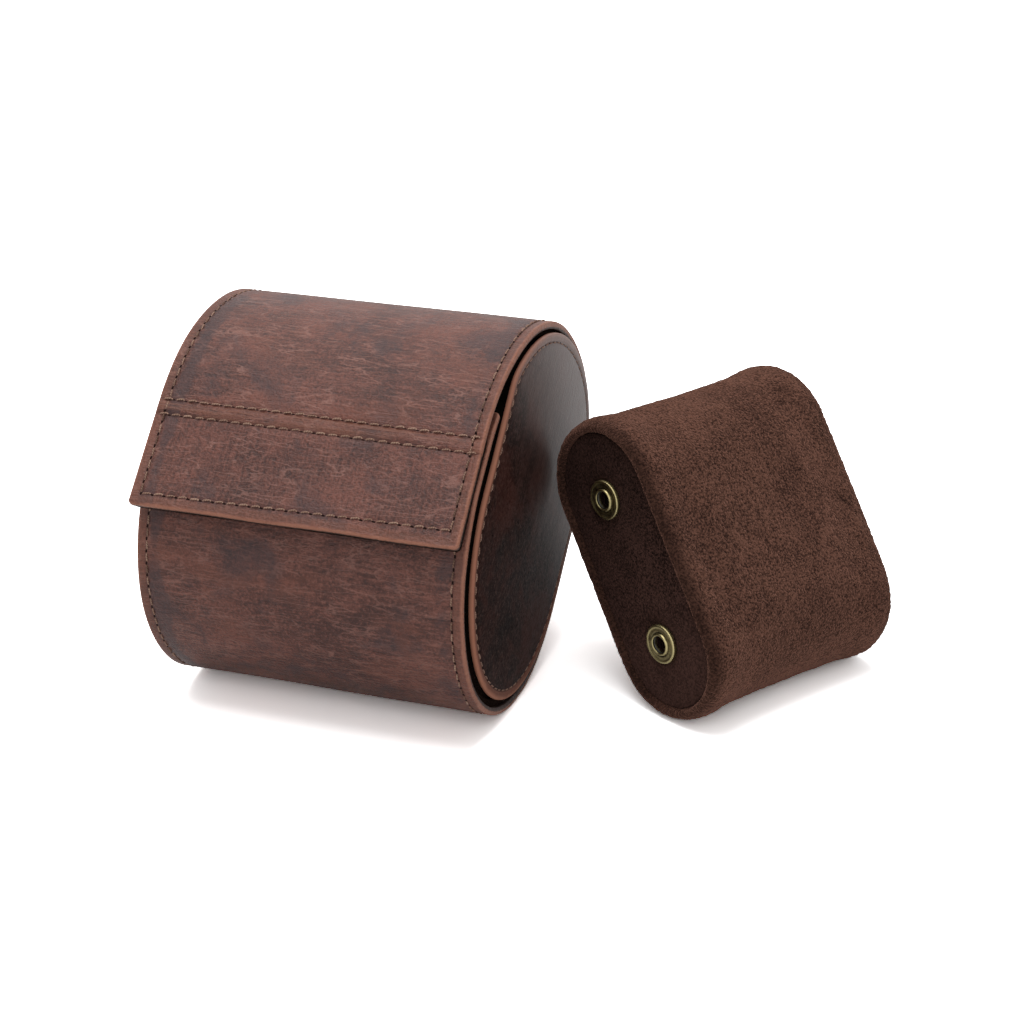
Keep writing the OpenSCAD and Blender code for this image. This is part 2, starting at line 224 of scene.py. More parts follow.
def grid_faces(rows, cols, flip=False, close_cols=False, close_rows=False):
    """Quads over a grid of points stored row by row."""
    r = np.arange(rows if close_rows else rows - 1)
    c = np.arange(cols if close_cols else cols - 1)
    r, c = np.meshgrid(r, c, indexing="ij")
    r2, c2 = (r + 1) % rows, (c + 1) % cols
    quads = np.stack([r * cols + c, r2 * cols + c, r2 * cols + c2, r * cols + c2], -1)
    quads = quads.reshape(-1, 4)
    return quads[:, ::-1] if flip else quads


def tube_faces(rings, sides, flip):
    """Faces of a closed tube: quads round it and a cap at each end."""
    first = list(range(sides))
    last = [(rings - 1) * sides + i for i in first]
    caps = [first, last[::-1]] if flip else [first[::-1], last]
    return grid_faces(rings, sides, flip, True).tolist() + caps


def grid_lines(lo, hi, step, edges=(), seams=()):
    """Grid lines from lo to hi, much closer together at real edges and closer at seams."""
    sample = 0.01
    at = np.arange(lo, hi, sample)
    gap = np.full(at.shape, step)
    for places, least, growth in ((edges, 0.035, 0.34), (seams, 0.3, 0.35)):
        for place in places:
            gap = np.minimum(gap, least + growth * np.abs(at - place))
    count = np.concatenate([[0], np.cumsum(sample / gap)])
    total = max(2, int(math.ceil(count[-1])))
    return np.interp(np.linspace(0, count[-1], total + 1), count, np.append(at, hi))


def edge_round(dist, radius, power=2.4):
    """1 well inside a sheet, falling to 0 at its edge on a full rounded profile."""
    k = np.clip(1 - dist / radius, 0, 1)
    return (1 - k ** power) ** (1 / power)


def groove(dist, width, depth):
    return -depth * np.exp(-(dist / width) ** 2)


def window(v, lo, hi, soft):
    """1 between lo and hi, with soft ends."""
    return 1 / (1 + np.exp(-(v - lo) / soft)) / (1 + np.exp((v - hi) / soft))


WAVE_REACH = 3.0  # how far in from a cut edge its unevenness reaches
RELIEF_EASE = 1.2  # how far in from an edge the relief of a face is complete


def thick_sheet(name, us, xs, top, bottom, ends, radius, corner, relief, wave, seed):
    """A closed sheet along the wrap's line, between two depths below its face, with rounded and
    slightly uneven edges. ends says whether its first and last line are real edges.
    relief(u, x) raises its top."""
    u, x = np.meshgrid(us, xs, indexing="ij")
    dx = xs.max() - np.abs(x)
    far = np.full(u.shape, 1e3)
    lo = u - us[0] if ends[0] else far
    hi = us[-1] - u if ends[1] else far
    du = np.minimum(lo, hi)
    dist = np.minimum(dx, du)
    # round the corners in plan: the square at each corner is drawn in to a quarter disc
    p = np.stack([corner - np.clip(dx, 0, corner), corner - np.clip(du, 0, corner)], -1)
    size = np.linalg.norm(p, axis=-1)
    drawn = p * (1 - np.where(size > 1e-9, p.max(-1) / np.maximum(size, 1e-9), 1))[..., None]
    x = np.sign(x) * (np.abs(x) - drawn[..., 0])
    u = u + np.where(lo < hi, drawn[..., 1], -drawn[..., 1])
    x = x + wave * np.exp(-dist / WAVE_REACH) * smooth_noise(seed, u / 9.0, np.sign(x) * 3.0)
    way = np.where(lo < hi, 1.0, -1.0) * np.exp(-du / WAVE_REACH)
    u = u + wave * way * smooth_noise(seed + 1, x / 9.0)
    place, out = wrap_line(u)
    mid, thick = (top + bottom) / 2, (bottom - top) / 2
    body = edge_round(dist, radius)
    lift = relief(u, x) * np.clip(dist / RELIEF_EASE, 0, 1) if relief else 0.0
    points, keys = [], []
    for side in (1, -1):
        depth = mid - side * thick * body - (lift if side > 0 else 0.0)
        st = place - out * depth[..., None]
        w = to_world(x, st[..., 0], st[..., 1])
        w[..., 2] = np.maximum(w[..., 2], 0.0)
        points.append(w.reshape(-1, 3))
        keys.append(np.stack([x, u, depth], -1).reshape(-1, 3))
    rows, cols = u.shape
    index = np.arange(rows * cols).reshape(rows, cols)
    lower = index + rows * cols
    rim = np.zeros((rows, cols), bool)
    rim[:, 0] = rim[:, -1] = True
    rim[0] |= ends[0]
    rim[-1] |= ends[1]
    lower[rim] = index[rim]
    upper = grid_faces(rows, cols)
    quads = [upper, lower.ravel()[upper[:, [0, 3, 2, 1]]]]
    caps = []
    for row, real in ((0, ends[0]), (rows - 1, ends[1])):
        if not real:
            a, b = index[row], lower[row]
            cap = np.stack([a[:-1], a[1:], b[1:], b[:-1]], -1)
            caps.append(cap[:, ::-1] if row else cap)
    verts = np.concatenate(points)
    flat_from = 2 * len(upper)
    faces = np.concatenate(quads + caps)
    used = np.unique(faces)
    remap = np.full(len(verts), -1)
    remap[used] = np.arange(len(used))
    faces = [list(dict.fromkeys(f)) for f in remap[faces].tolist()]
    return make_mesh(name, verts[used], faces,
                     {"rest": np.concatenate(keys)[used], "edge": np.tile(dist.ravel(), 2)[used]},
                     flat_from if caps else None)


# ---- materials ----


def add_node(tree, kind, values=(), **props):
    """A shader node with these properties, and its inputs set or linked."""
    node = tree.nodes.new("ShaderNode" + kind)
    for key, value in props.items():
        setattr(node, key, value)
    for key, value in dict(values).items():
        if isinstance(value, bpy.types.NodeSocket):
            tree.links.new(value, node.inputs[key])
        else:
            node.inputs[key].default_value = value
    return node


class Look:
    """One procedural material round a Principled shader. Its coordinates are in millimetres:
    the piece's own "rest" attribute, or the object's own place for a CAD node."""

    def __init__(self, name, rough, metal=0.0, attribute=True):
        self.material = bpy.data.materials.new(name)
        self.material.use_nodes = True
        self.tree = self.material.node_tree
        self.shader = self.tree.nodes["Principled BSDF"]
        self.set("Metallic", metal)
        self.set("Roughness", rough)
        if attribute:
            self.at = self.read("rest", "Vector")
        else:
            self.at = self.times(self.node("TexCoord").outputs["Object"], 1 / MM)

    def set(self, socket, value):
        if isinstance(value, bpy.types.NodeSocket):
            self.tree.links.new(value, self.shader.inputs[socket])
        else:
            self.shader.inputs[socket].default_value = value

    def node(self, kind, values=(), **props):
        return add_node(self.tree, kind, values, **props)

    def read(self, name, output):
        return self.node("Attribute", attribute_name=name).outputs[output]

    def plus(self, a, b):
        return self.node("VectorMath", {0: a, 1: b}, operation="ADD").outputs[0]

    def times(self, vector, scale):
        scale = (scale,) * 3 if np.isscalar(scale) else scale
        return self.node("VectorMath", {0: vector, 1: scale}, operation="MULTIPLY").outputs[0]

    def split(self):
        return self.node("SeparateXYZ", {0: self.at}).outputs

    def math(self, operation, a, b=0.0):
        return self.node("Math", {0: a, 1: b}, operation=operation).outputs[0]

    def mul(self, a, b):
        return self.math("MULTIPLY", a, b)

    def noise(self, scale, detail=3.0, rough=0.55, distort=0.0, seed=0.0):
        """Noise with so many waves per millimetre along each axis, about 0 to 1."""
        place = self.plus(self.times(self.at, scale), (seed, seed * 1.7, seed * 0.6))
        return self.node("TexNoise", {"Vector": place, "Scale": 1.0, "Detail": detail,
                                      "Roughness": rough, "Distortion": distort}).outputs["Fac"]

    def ramp(self, value, lo, hi, to_lo=0.0, to_hi=1.0):
        values = {"Value": value, "From Min": lo, "From Max": hi, "To Min": to_lo, "To Max": to_hi}
        return self.node("MapRange", values, interpolation_type="SMOOTHSTEP").outputs["Result"]

    def near(self, value, target, width):
        """1 where the value is at its target, falling to 0 at that width."""
        away = self.math("ABSOLUTE", self.math("SUBTRACT", value, target))
        return self.ramp(away, 0.0, width, 1.0, 0.0)

    def blend(self, factor, a, b):
        a, b = ((*c, 1) if isinstance(c, tuple) else c for c in (a, b))
        return self.node("Mix", {0: factor, 6: a, 7: b}, data_type="RGBA").outputs[2]

    def layers(self, color, *layers):
        """A colour under layers of (shade, mask, strength)."""
        for shade, mask, strength in layers:
            color = self.blend(self.mul(mask, strength), color, shade)
        return color

    def total(self, *terms):
        """Sum of (weight, value) terms."""
        out = None
        for weight, value in terms:
            part = self.mul(value, weight)
            out = part if out is None else self.math("ADD", out, part)
        return out

    def bump(self, height, depth, strength):
        values = {"Height": height, "Distance": depth * MM, "Strength": strength}
        return self.node("Bump", values).outputs["Normal"]


ROW_1, ROW_2 = U_FOLD + 0.7, U_FOLD + 4.7
ROW_3_LEFT, ROW_3_RIGHT = U_END - 2.7, U_END - 4.2
END_LINE = HALF_LEN - 2.6
RING_INSET = 2.35


def crinkle(k, scale, width, seed):
    """Thin broken lines round long cells, as in waxed leather: 1 on a line, 0 between."""
    values = {"Vector": k.times(k.at, 0.55), "Scale": 1.0, "Detail": 3.0}
    wobble = k.times(k.node("TexNoise", values).outputs["Color"], 0.35)
    place = k.plus(k.plus(k.times(k.at, scale), wobble), (seed, seed, 0.0))
    cells = k.node("TexVoronoi", {"Vector": place, "Scale": 1.0}, feature="DISTANCE_TO_EDGE")
    return k.ramp(cells.outputs["Distance"], 0.0, width, 1.0, 0.0)


def wrap_leather_look():
    k = Look("wrap_leather", 0.5)
    x, u, depth = k.split()
    edge = k.read("edge", "Fac")
    side = k.math("ABSOLUTE", x)
    # where on the wrap
    on_flap = k.ramp(u, U_FOLD + 4.2, U_FOLD + 5.4)
    off_flap = k.math("SUBTRACT", 1.0, on_flap)
    on_lid = k.mul(k.ramp(u, U_HINGE, U_HINGE + 20), off_flap)
    on_band = k.mul(k.ramp(u, ROW_1 - 0.05, ROW_1 + 0.65),
                    k.ramp(u, ROW_2 - 0.65, ROW_2 + 0.05, 1, 0))
    # tones, widest first. The streaks run along the case, but down the flap
    large = k.noise((0.035, 0.045, 0.05), 3.0, 0.6, 0.4, seed=3.1)
    patch = k.noise((0.11, 0.15, 0.15), 5.0, 0.66, 0.8, seed=8.3)
    cross = k.noise((0.13, 0.95, 0.6), 4.0, 0.72, 0.4, seed=1.7)
    down = k.total((0.85, k.noise((1.35, 0.16, 0.6), 3.0, 0.72, 0.3, seed=5.2)), (0.075, 1.0))
    streak = k.math("ADD", k.mul(cross, off_flap), k.mul(down, on_flap))
    thin = k.noise((0.05, 1.25, 0.6), 2.0, 0.6, 0.25, seed=18.2)
    pore = k.noise((1.35, 1.45, 1.35), 2.0, 0.75, seed=2.2)
    # crackle
    where = k.noise((0.10, 0.14, 0.2), 4.0, 0.65, 0.5, seed=12.4)
    long_lines = k.mul(crinkle(k, (0.085, 0.60, 0.05), 0.075, 3.0), k.ramp(where, 0.38, 0.56))
    long_lines = k.mul(long_lines, k.ramp(u, 95.0, 125.0, 0.62, 1.0))
    short_lines = k.mul(crinkle(k, (0.20, 1.05, 0.05), 0.12, 7.0), k.ramp(where, 0.50, 0.66))
    grain_lines = k.mul(crinkle(k, (0.80, 0.16, 0.05), 0.11, 5.0), k.ramp(where, 0.52, 0.70))
    lines = k.mul(k.math("MAXIMUM", long_lines, k.mul(short_lines, 0.6)), off_flap)
    flap_lines = k.mul(k.math("MAXIMUM", k.mul(grain_lines, 0.6), long_lines), k.mul(on_flap, 0.75))
    lines = k.math("MAXIMUM", lines, flap_lines)
    # stains and wear, and painted shade on the cut edges and along the stitch lines
    stain = k.noise((0.07, 0.06, 0.08), 4.0, 0.6, 0.5, seed=14.6)
    by_line = k.mul(k.mul(k.near(side, HALF_LEN - 5.0, 3.2), 0.26), k.ramp(x, -2.0, 2.0, 1.0, 0.5))
    stain = k.ramp(k.math("ADD", stain, by_line), 0.52, 0.70)
    red = k.ramp(k.noise((0.05, 0.07, 0.06), 3.0, 0.6, 0.5, seed=21.3), 0.50, 0.68)
    ragged = k.total((1.3, patch), (0.5, pore), (-0.9, 1.0))
    rim = k.ramp(k.math("ADD", edge, ragged), 0.12, 0.85, 1, 0)
    # painted shade: each cut edge is painted near-black below a depth, as the shade of the gap
    # beneath it
    cut = k.total((1.0, depth), (0.9, pore), (0.25, on_flap), (-0.3, on_lid))
    # painted shade: the leather is painted darker along the pulled-in stitch lines
    seam = (0.045, 0.020, 0.016)
    tone = k.total((0.85, large), (0.60, patch), (0.80, streak), (0.40, pore))
    k.set("Base Color", k.layers(
        k.blend(k.ramp(tone, 1.06, 1.60), (0.057, 0.0205, 0.0160), (0.180, 0.0655, 0.0475)),
        ((0.215, 0.090, 0.067), k.ramp(streak, 0.52, 0.68), 0.32),
        ((0.040, 0.017, 0.015), k.ramp(pore, 0.49, 0.36), 0.42),
        ((0.265, 0.116, 0.089), k.ramp(pore, 0.53, 0.68), 0.38),
        ((0.32, 0.156, 0.124), lines, 0.68),
        ((0.048, 0.030, 0.033), stain, 0.60),
        ((0.19, 0.064, 0.040), red, k.ramp(on_flap, 0.0, 1.0, 0.36, 0.12)),
        ((0.225, 0.094, 0.060), k.mul(on_band, k.ramp(thin, 0.42, 0.62)), 0.50),
        ((0.225, 0.086, 0.052), k.ramp(edge, 1.9, 2.9, 1, 0), 0.34),
        ((0.41, 0.170, 0.108), rim, 0.78),
        # painted shade on the deeper part of the cut edges
        ((0.022, 0.013, 0.010), k.ramp(cut, 1.30, 1.68), 0.92),
        # painted shade along the stitch lines
        (seam, k.near(u, ROW_1, 0.8), 0.22),
        (seam, k.near(u, ROW_2, 0.8), 0.22),
        (seam, k.near(side, END_LINE, 0.8), 0.22)))
    k.set("Roughness", k.total((0.22, patch), (0.20, pore), (0.22, 1.0)))
    height = k.total((0.45, streak), (0.8, pore), (0.18, lines), (0.9, k.mul(on_band, thin)))
    k.set("Normal", k.bump(height, 0.50, 0.9))
    k.set("Specular IOR Level", 0.29)
    return k.material


def panel_leather_look():
    k = Look("panel_leather", 0.42)
    s, t, _ = k.split()
    edge = k.read("edge", "Fac")
    large = k.noise((0.05, 0.05, 0.05), 3.0, 0.6, 0.5, seed=4.4)
    patch = k.noise((0.16, 0.2, 0.16), 5.0, 0.66, 0.8, seed=7.9)
    streak = k.noise((0.12, 0.9, 0.6), 4.0, 0.68, 0.5, seed=6.1)
    pore = k.noise((1.3, 1.3, 1.3), 2.0, 0.75, seed=3.6)
    lines = k.mul(crinkle(k, (0.10, 0.55, 0.05), 0.07, 2.0), k.ramp(patch, 0.46, 0.64))
    red = k.ramp(k.noise((0.07, 0.045, 0.05), 3.0, 0.6, 0.5, seed=9.6), 0.48, 0.66)
    ragged = k.total((1.3, patch), (0.5, pore), (-0.9, 1.0))
    ring = k.math("ADD", edge, k.mul(ragged, 0.5))
    # the back and top of the panel are polished by handling: smoother and more specular there, and
    # painted lighter and warmer there as a painted sheen
    polish_and_sheen = k.total((0.85, s), (-0.18, t), (18.0, patch), (8.0, streak), (3.0, pore))
    polish_and_sheen = k.ramp(polish_and_sheen, 4.0, 56.0)
    tone = k.total((0.8, large), (0.6, patch), (0.3, streak), (0.6, pore))
    k.set("Base Color", k.layers(
        k.blend(k.ramp(tone, 0.92, 1.46), (0.0068, 0.0032, 0.0028), (0.037, 0.0148, 0.0120)),
        ((0.075, 0.037, 0.030), lines, 0.30),
        ((0.080, 0.045, 0.037), k.ramp(pore, 0.55, 0.68), 0.45),
        ((0.070, 0.022, 0.016), red, 0.35),
        ((0.225, 0.095, 0.064), k.ramp(ring, RING_INSET - 0.45, RING_INSET + 0.35, 1, 0), 0.85),
        ((0.42, 0.180, 0.116), k.ramp(k.math("ADD", edge, ragged), 0.3, 1.3, 1, 0), 0.80),
        # painted shade along the stitch groove
        ((0.030, 0.015, 0.012), k.near(edge, RING_INSET, 0.55), 0.5),
        # painted sheen: lighter, warmer colour where the panel is polished
        ((0.095, 0.043, 0.033), polish_and_sheen, 0.55)))
    k.set("Roughness", k.total((0.18, patch), (0.14, pore), (-0.24, polish_and_sheen), (0.42, 1.0)))
    k.set("Normal", k.bump(k.total((0.5, streak), (0.6, pore), (0.2, lines)), 0.18, 0.65))
    k.set("Specular IOR Level", k.total((0.76, polish_and_sheen), (0.25, pore), (-0.06, 1.0)))
    k.set("Specular Tint", (1.0, 0.87, 0.83, 1.0))
    return k.material


def suede_look(name, dark, light, grain, sheen, holes=(), turned=False, cut_edge_shade=0.0):
    k = Look(name, 0.95)
    speck = k.noise((grain,) * 3, 1.5, 0.7, seed=1.3)
    tuft = k.noise((grain * 0.36, grain * 0.28, grain * 0.32), 3.0, 0.7, 0.8, seed=6.6)
    patch = k.noise((0.09, 0.07, 0.08), 3.0, 0.6, 1.2, seed=11.2)
    _, y, z = k.split()
    layers = []
    # painted shade: cut edges are painted near-black, as the shade of the gaps they face
    if cut_edge_shade:
        edge = k.read("edge", "Fac")
        layers.append(((0.0045, 0.0036, 0.0026), k.ramp(edge, 0.2, 0.6, 1.0, 0.0), cut_edge_shade))
    if turned:
        # the cover's turned-in ends are painted darker, as painted shade on the rolled lips
        half = PILLOW_W / 2
        end = k.math("ABSOLUTE", k.math("ADD", z, half))
        layers.append((dark, k.ramp(end, half - 4.0, half - 0.8), 0.62))
    if holes:
        # the disc is painted darker towards its top, as painted shade, and lighter towards its
        # foot, as painted light
        layers += [(dark, k.ramp(y, 2.0, 24.0), 0.42), (light, k.ramp(y, -4.0, -26.0), 0.34)]
    # round each socket the suede is darker, and inside its hole it is painted black as painted
    # shade
    for place in holes:
        dist = k.node("VectorMath", {0: k.at, 1: place}, operation="DISTANCE").outputs["Value"]
        inside = k.ramp(dist, SOCKET_HOLE_R, SOCKET_HOLE_R + 0.15, 1, 0)
        layers += [(dark, k.ramp(dist, SOCKET_R - 0.4, SOCKET_R + 1.3, 1, 0), 0.6),
                   ((0.001, 0.001, 0.001), inside, 1.0)]
    tone = k.total((1.5, speck), (0.40, tuft), (0.45, patch))
    k.set("Base Color", k.layers(k.blend(k.ramp(tone, 0.90, 1.46), dark, light), *layers))
    k.set("Specular IOR Level", 0.0)
    k.set("Sheen Weight", sheen)
    k.set("Sheen Roughness", 0.45)
    k.set("Sheen Tint", (*(min(1, c * gain) for c, gain in zip(light, (5, 5.4, 5.8))), 1))
    k.set("Normal", k.bump(k.total((1.0, speck), (0.7, tuft)), 0.7, 0.9))
    return k.material


def thread_look():
    """Its "rest" is (length along a thread, angle round it, the thread's number)."""
    k = Look("thread", 0.7)
    along, around, number = k.split()
    twist = k.math("SINE", k.math("ADD", k.mul(along, 9.0), around))
    wear = k.noise((0.0, 0.0, 0.37), 2.0, 0.5, seed=2.0)
    fuzz = k.noise((3.0, 1.0, 1.0), 3.0, 0.6, seed=5.0)
    tone = k.total((0.22, twist), (1.0, wear), (0.7, fuzz))
    color = k.blend(k.ramp(tone, 0.45, 1.25), (0.22, 0.116, 0.082), (0.50, 0.315, 0.235))
    worn = k.ramp(number, 1000, 1000 + DARK_THREAD, 0.0, 0.75)
    k.set("Base Color", k.blend(worn, color, (0.090, 0.044, 0.030)))
    k.set("Normal", k.bump(k.total((1.0, twist), (0.6, fuzz)), 0.12, 0.8))
    k.set("Specular IOR Level", 0.25)
    return k.material


def hole_look():
    k = Look("needle_hole", 0.95)
    patch = k.noise((1.0, 1.0, 0.5), 2.0)
    # near-black: painted shade of the needle holes
    k.set("Base Color", k.blend(patch, (0.007, 0.003, 0.003), (0.026, 0.010, 0.008)))
    k.set("Specular IOR Level", 0.1)
    return k.material


def metal_look(name, base, dull, rough, brushed=(0.6, 0.6, 0.6), tarnish=0.5):
    k = Look(name, rough, 1.0, False)
    patch = k.noise((0.5, 0.5, 0.5), 4.0, 0.65, 0.6, seed=2.7)
    fine = k.noise(brushed, 3.0, 0.6, seed=4.1)
    mask = k.ramp(k.total((0.7, patch), (0.3, fine)), tarnish, tarnish + 0.16)
    k.set("Base Color", k.blend(mask, base, dull))
    k.set("Roughness", k.total((0.35, patch), (0.2, fine), (rough - 0.22, 1.0)))
    k.set("Normal", k.bump(fine, 0.02, 0.5))
    return k.material


def socket_look():
    """Antique brass: bright where it is rubbed, dark in its recesses."""
    k = Look("socket_brass", 0.36, 1.0)
    wear = k.read("wear", "Fac")
    patch = k.noise((0.8, 0.8, 0.8), 4.0, 0.65, 0.6, seed=2.7)
    fine = k.noise((3.0, 3.0, 3.0), 3.0, 0.6, seed=4.1)
    mask = k.ramp(k.total((0.75, wear), (0.55, patch), (0.2, fine)), 0.35, 0.85)
    k.set("Base Color", k.blend(mask, (0.045, 0.036, 0.018), (0.48, 0.41, 0.205)))
    k.set("Roughness", k.total((0.3, patch), (0.15, fine), (0.14, 1.0)))
    k.set("Normal", k.bump(k.total((1.0, fine), (0.6, patch)), 0.03, 0.6))
    return k.material


def dull_look(name, dark, light, scale, rough, depth):
    """Board and foam: fibres or cells."""
    k = Look(name, rough, 0.0, False)
    fine = k.noise((scale,) * 3, 4.0, 0.7, seed=1.1)
    patch = k.noise((scale * 0.12,) * 3, 3.0, 0.6, 0.7, seed=5.7)
    k.set("Base Color", k.blend(k.ramp(k.total((0.8, fine), (0.6, patch)), 0.5, 0.95), dark, light))
    k.set("Normal", k.bump(fine, depth, 0.7))
    k.set("Specular IOR Level", 0.2)
    return k.material


DARK_THREAD = 700  # added to a thread's number, which is up to 1000, in a dark row
SNAP_PLACES = [(0.0, side * SNAP_GAP / 2, -DISC_INSET) for side in (-1, 1)]
thread = thread_look()
needle_hole = hole_look()
lining_suede = suede_look("lining_suede", (0.012, 0.007, 0.006), (0.056, 0.031, 0.024), 1.7, 0.2,
                          cut_edge_shade=0.9)
pillow_suede = suede_look("pillow_suede", (0.020, 0.010, 0.0078), (0.160, 0.075, 0.052), 1.9, 0.5,
                          turned=True)
# the near disc's suede is a darker copy of the pillow's, as painted shade
disc_suede_shaded = suede_look("disc_suede_shaded", (0.010, 0.0056, 0.0046), (0.078, 0.039, 0.031), 1.9, 0.2,
                        SNAP_PLACES)
socket_brass = socket_look()
SLOT_MATERIAL = {
    "wrap_leather": wrap_leather_look(),
    "panel_leather": panel_leather_look(),
    "lining_suede": lining_suede,
    "pillow_suede": pillow_suede,
    "board": dull_look("board", (0.24, 0.17, 0.10), (0.45, 0.35, 0.23), 1.4, 0.85, 0.12),
    "foam": dull_look("foam", (0.46, 0.42, 0.33), (0.70, 0.66, 0.55), 0.8, 0.95, 0.4),
    "magnet": metal_look("magnet", (0.60, 0.60, 0.62), (0.36, 0.36, 0.37), 0.24, tarnish=0.62),
    "brass": metal_look("brass", (0.50, 0.41, 0.21), (0.13, 0.10, 0.05), 0.36),
    "steel": metal_look("steel", (0.58, 0.58, 0.60), (0.30, 0.30, 0.31), 0.32, (0.5, 0.5, 5.0),
                        0.6),
}
# pieces deep in the sockets, painted darker than the rest of their slot as painted shade in the
# holes
SHADED_NODE_MATERIAL = {
    "socket_springs": metal_look("spring_steel_shaded", (0.10, 0.095, 0.085), (0.03, 0.028, 0.025), 0.45),
    "socket_caps": metal_look("cap_brass_shaded", (0.10, 0.08, 0.045), (0.02, 0.016, 0.010), 0.5),
}
for part in frame["record"]["subparts"]:
    materials = nodes[part["node"]].data.materials
    materials.clear()
    materials.append(SHADED_NODE_MATERIAL.get(part["node"], SLOT_MATERIAL[part["material_slot"]]))


def dress(obj, slot_name, *materials):
    for material in materials or (SLOT_MATERIAL[slot_name],):
        obj.data.materials.append(material)
    return obj


# ---- the wrap ----

STEP = 1.0
JOIN = U_HINGE + UP_R * math.radians(30)


def row_3(x):
    return ROW_3_LEFT + (ROW_3_RIGHT - ROW_3_LEFT) * (x + HALF_LEN) / CASE_LEN


def wrap_relief(u, x):
    """How far the leather's face stands proud: stitch lines pulled in, a raised band between
    the two upper rows, and the soft unevenness of a hand-made wrap."""
    inside = window(np.abs(x), -1, END_LINE, 0.25)
    lift = groove(np.abs(x) - END_LINE, 0.75, 0.22)
    lift = lift + groove(u - ROW_1, 0.65, 0.26) + groove(u - ROW_2, 0.65, 0.26)
    lift = lift + groove(u - row_3(x), 0.75, 0.22) * inside
    lift = lift + 0.34 * window(u, ROW_1 + 0.8, ROW_2 - 0.8, 0.22)
    lift = lift + 0.16 * smooth_noise(31, u / 17.0, x / 15.0)
    return lift + 0.05 * smooth_noise(32, u / 5.0, x / 9.0)


end_seams = (-END_LINE, END_LINE)
xs = grid_lines(-HALF_LEN, HALF_LEN, STEP, (-HALF_LEN, HALF_LEN), end_seams)
u_back = grid_lines(0, JOIN, STEP, (0,))
flap_seams = (ROW_1, ROW_2, ROW_3_LEFT, U_END - 3.2, U_END - 3.7, ROW_3_RIGHT)
u_top = grid_lines(JOIN, U_END, STEP, (U_END,), flap_seams)
wrap_back = thick_sheet("wrap_back", u_back, xs, 0, LEATHER_T, (True, False), 0.5, 1.0,
                        wrap_relief, 0.12, 11)
wrap_top = thick_sheet("wrap_top", u_top, xs, 0, LEATHER_T, (False, True), 0.5, 1.1,
                       wrap_relief, 0.12, 12)
dress(wrap_back, "wrap_leather")
dress(wrap_top, "wrap_leather")
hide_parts("body_leather")
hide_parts("lid_leather", "flap_leather")

LINING_STEP, LINING_TOP_STEP = 2.2, 1.6
END_CLEAR = 0.9
lining_half = HALF_LEN - LINING_INSET
lx = grid_lines(-lining_half, lining_half, LINING_STEP, (-lining_half, lining_half))
lu_back = grid_lines(LINING_INSET, JOIN, LINING_STEP, (LINING_INSET,))
lu_end = U_END - LINING_INSET
lu_top = grid_lines(JOIN, lu_end, LINING_TOP_STEP, (lu_end,), (U_FOLD,))
lining_back = thick_sheet("lining_back", lu_back, lx, LEATHER_T + GLUE, WALL_T, (True, False),
                          0.6, 1.2, None, 0.1, 21)
lining_top = thick_sheet("lining_top", lu_top, lx, LEATHER_T + GLUE, FLAP_T, (False, True),
                         0.6, 1.2, None, 0.1, 22)
for lining in (lining_back, lining_top):
    # its ends stay short of the sewn panels, except on the flap, which lies outside them
    co = fetch(lining.data.vertices, "co")
    u = fetch(lining.data.attributes["rest"].data, "vector")[:, 1]
    co[:, 0] *= 1 - END_CLEAR / HALF_LEN * (1 - np.clip((u - U_FOLD + 4) / 5, 0, 1))
    store_points(lining.data, co)
    dress(lining, "lining_suede")
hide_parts("body_lining")
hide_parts("lid_lining", "flap_lining")

# ---- stitches ----

PITCH = 3.07
THREAD_R = 0.235
THREAD_RISE = 0.21  # of a thread's middle line above the leather
THREAD_DIVE = 0.42  # of its ends below the leather
THREAD_SLANT = 0.46  # how far its start and end lie to either side of the row
HOLE_LONG, HOLE_WIDE, HOLE_DEPTH = 0.64, 0.38, 0.5
HOLE_SIDES = 8
STITCH_STEPS = np.array([0, 0.08, 0.2, 0.36, 0.52, 0.67, 0.79, 0.87, 0.94, 1.0])
ROUND = np.linspace(0, 2 * math.pi, 7)[:-1]
HOLE_ROUND = np.linspace(0, 2 * math.pi, HOLE_SIDES, endpoint=False)
# the faces of one thread, then those of its needle hole: a rim, a top and a bottom point
STEPS, SIDES = len(STITCH_STEPS), len(ROUND)
THREAD_FACES = tube_faces(STEPS, SIDES, True)
HOLE_FACES = []
for j in range(HOLE_SIDES):
    this, after = STEPS * SIDES + np.array([j, (j + 1) % HOLE_SIDES])
    HOLE_FACES += [[this, after, STEPS * SIDES + HOLE_SIDES],
                   [after, this, STEPS * SIDES + HOLE_SIDES + 1]]


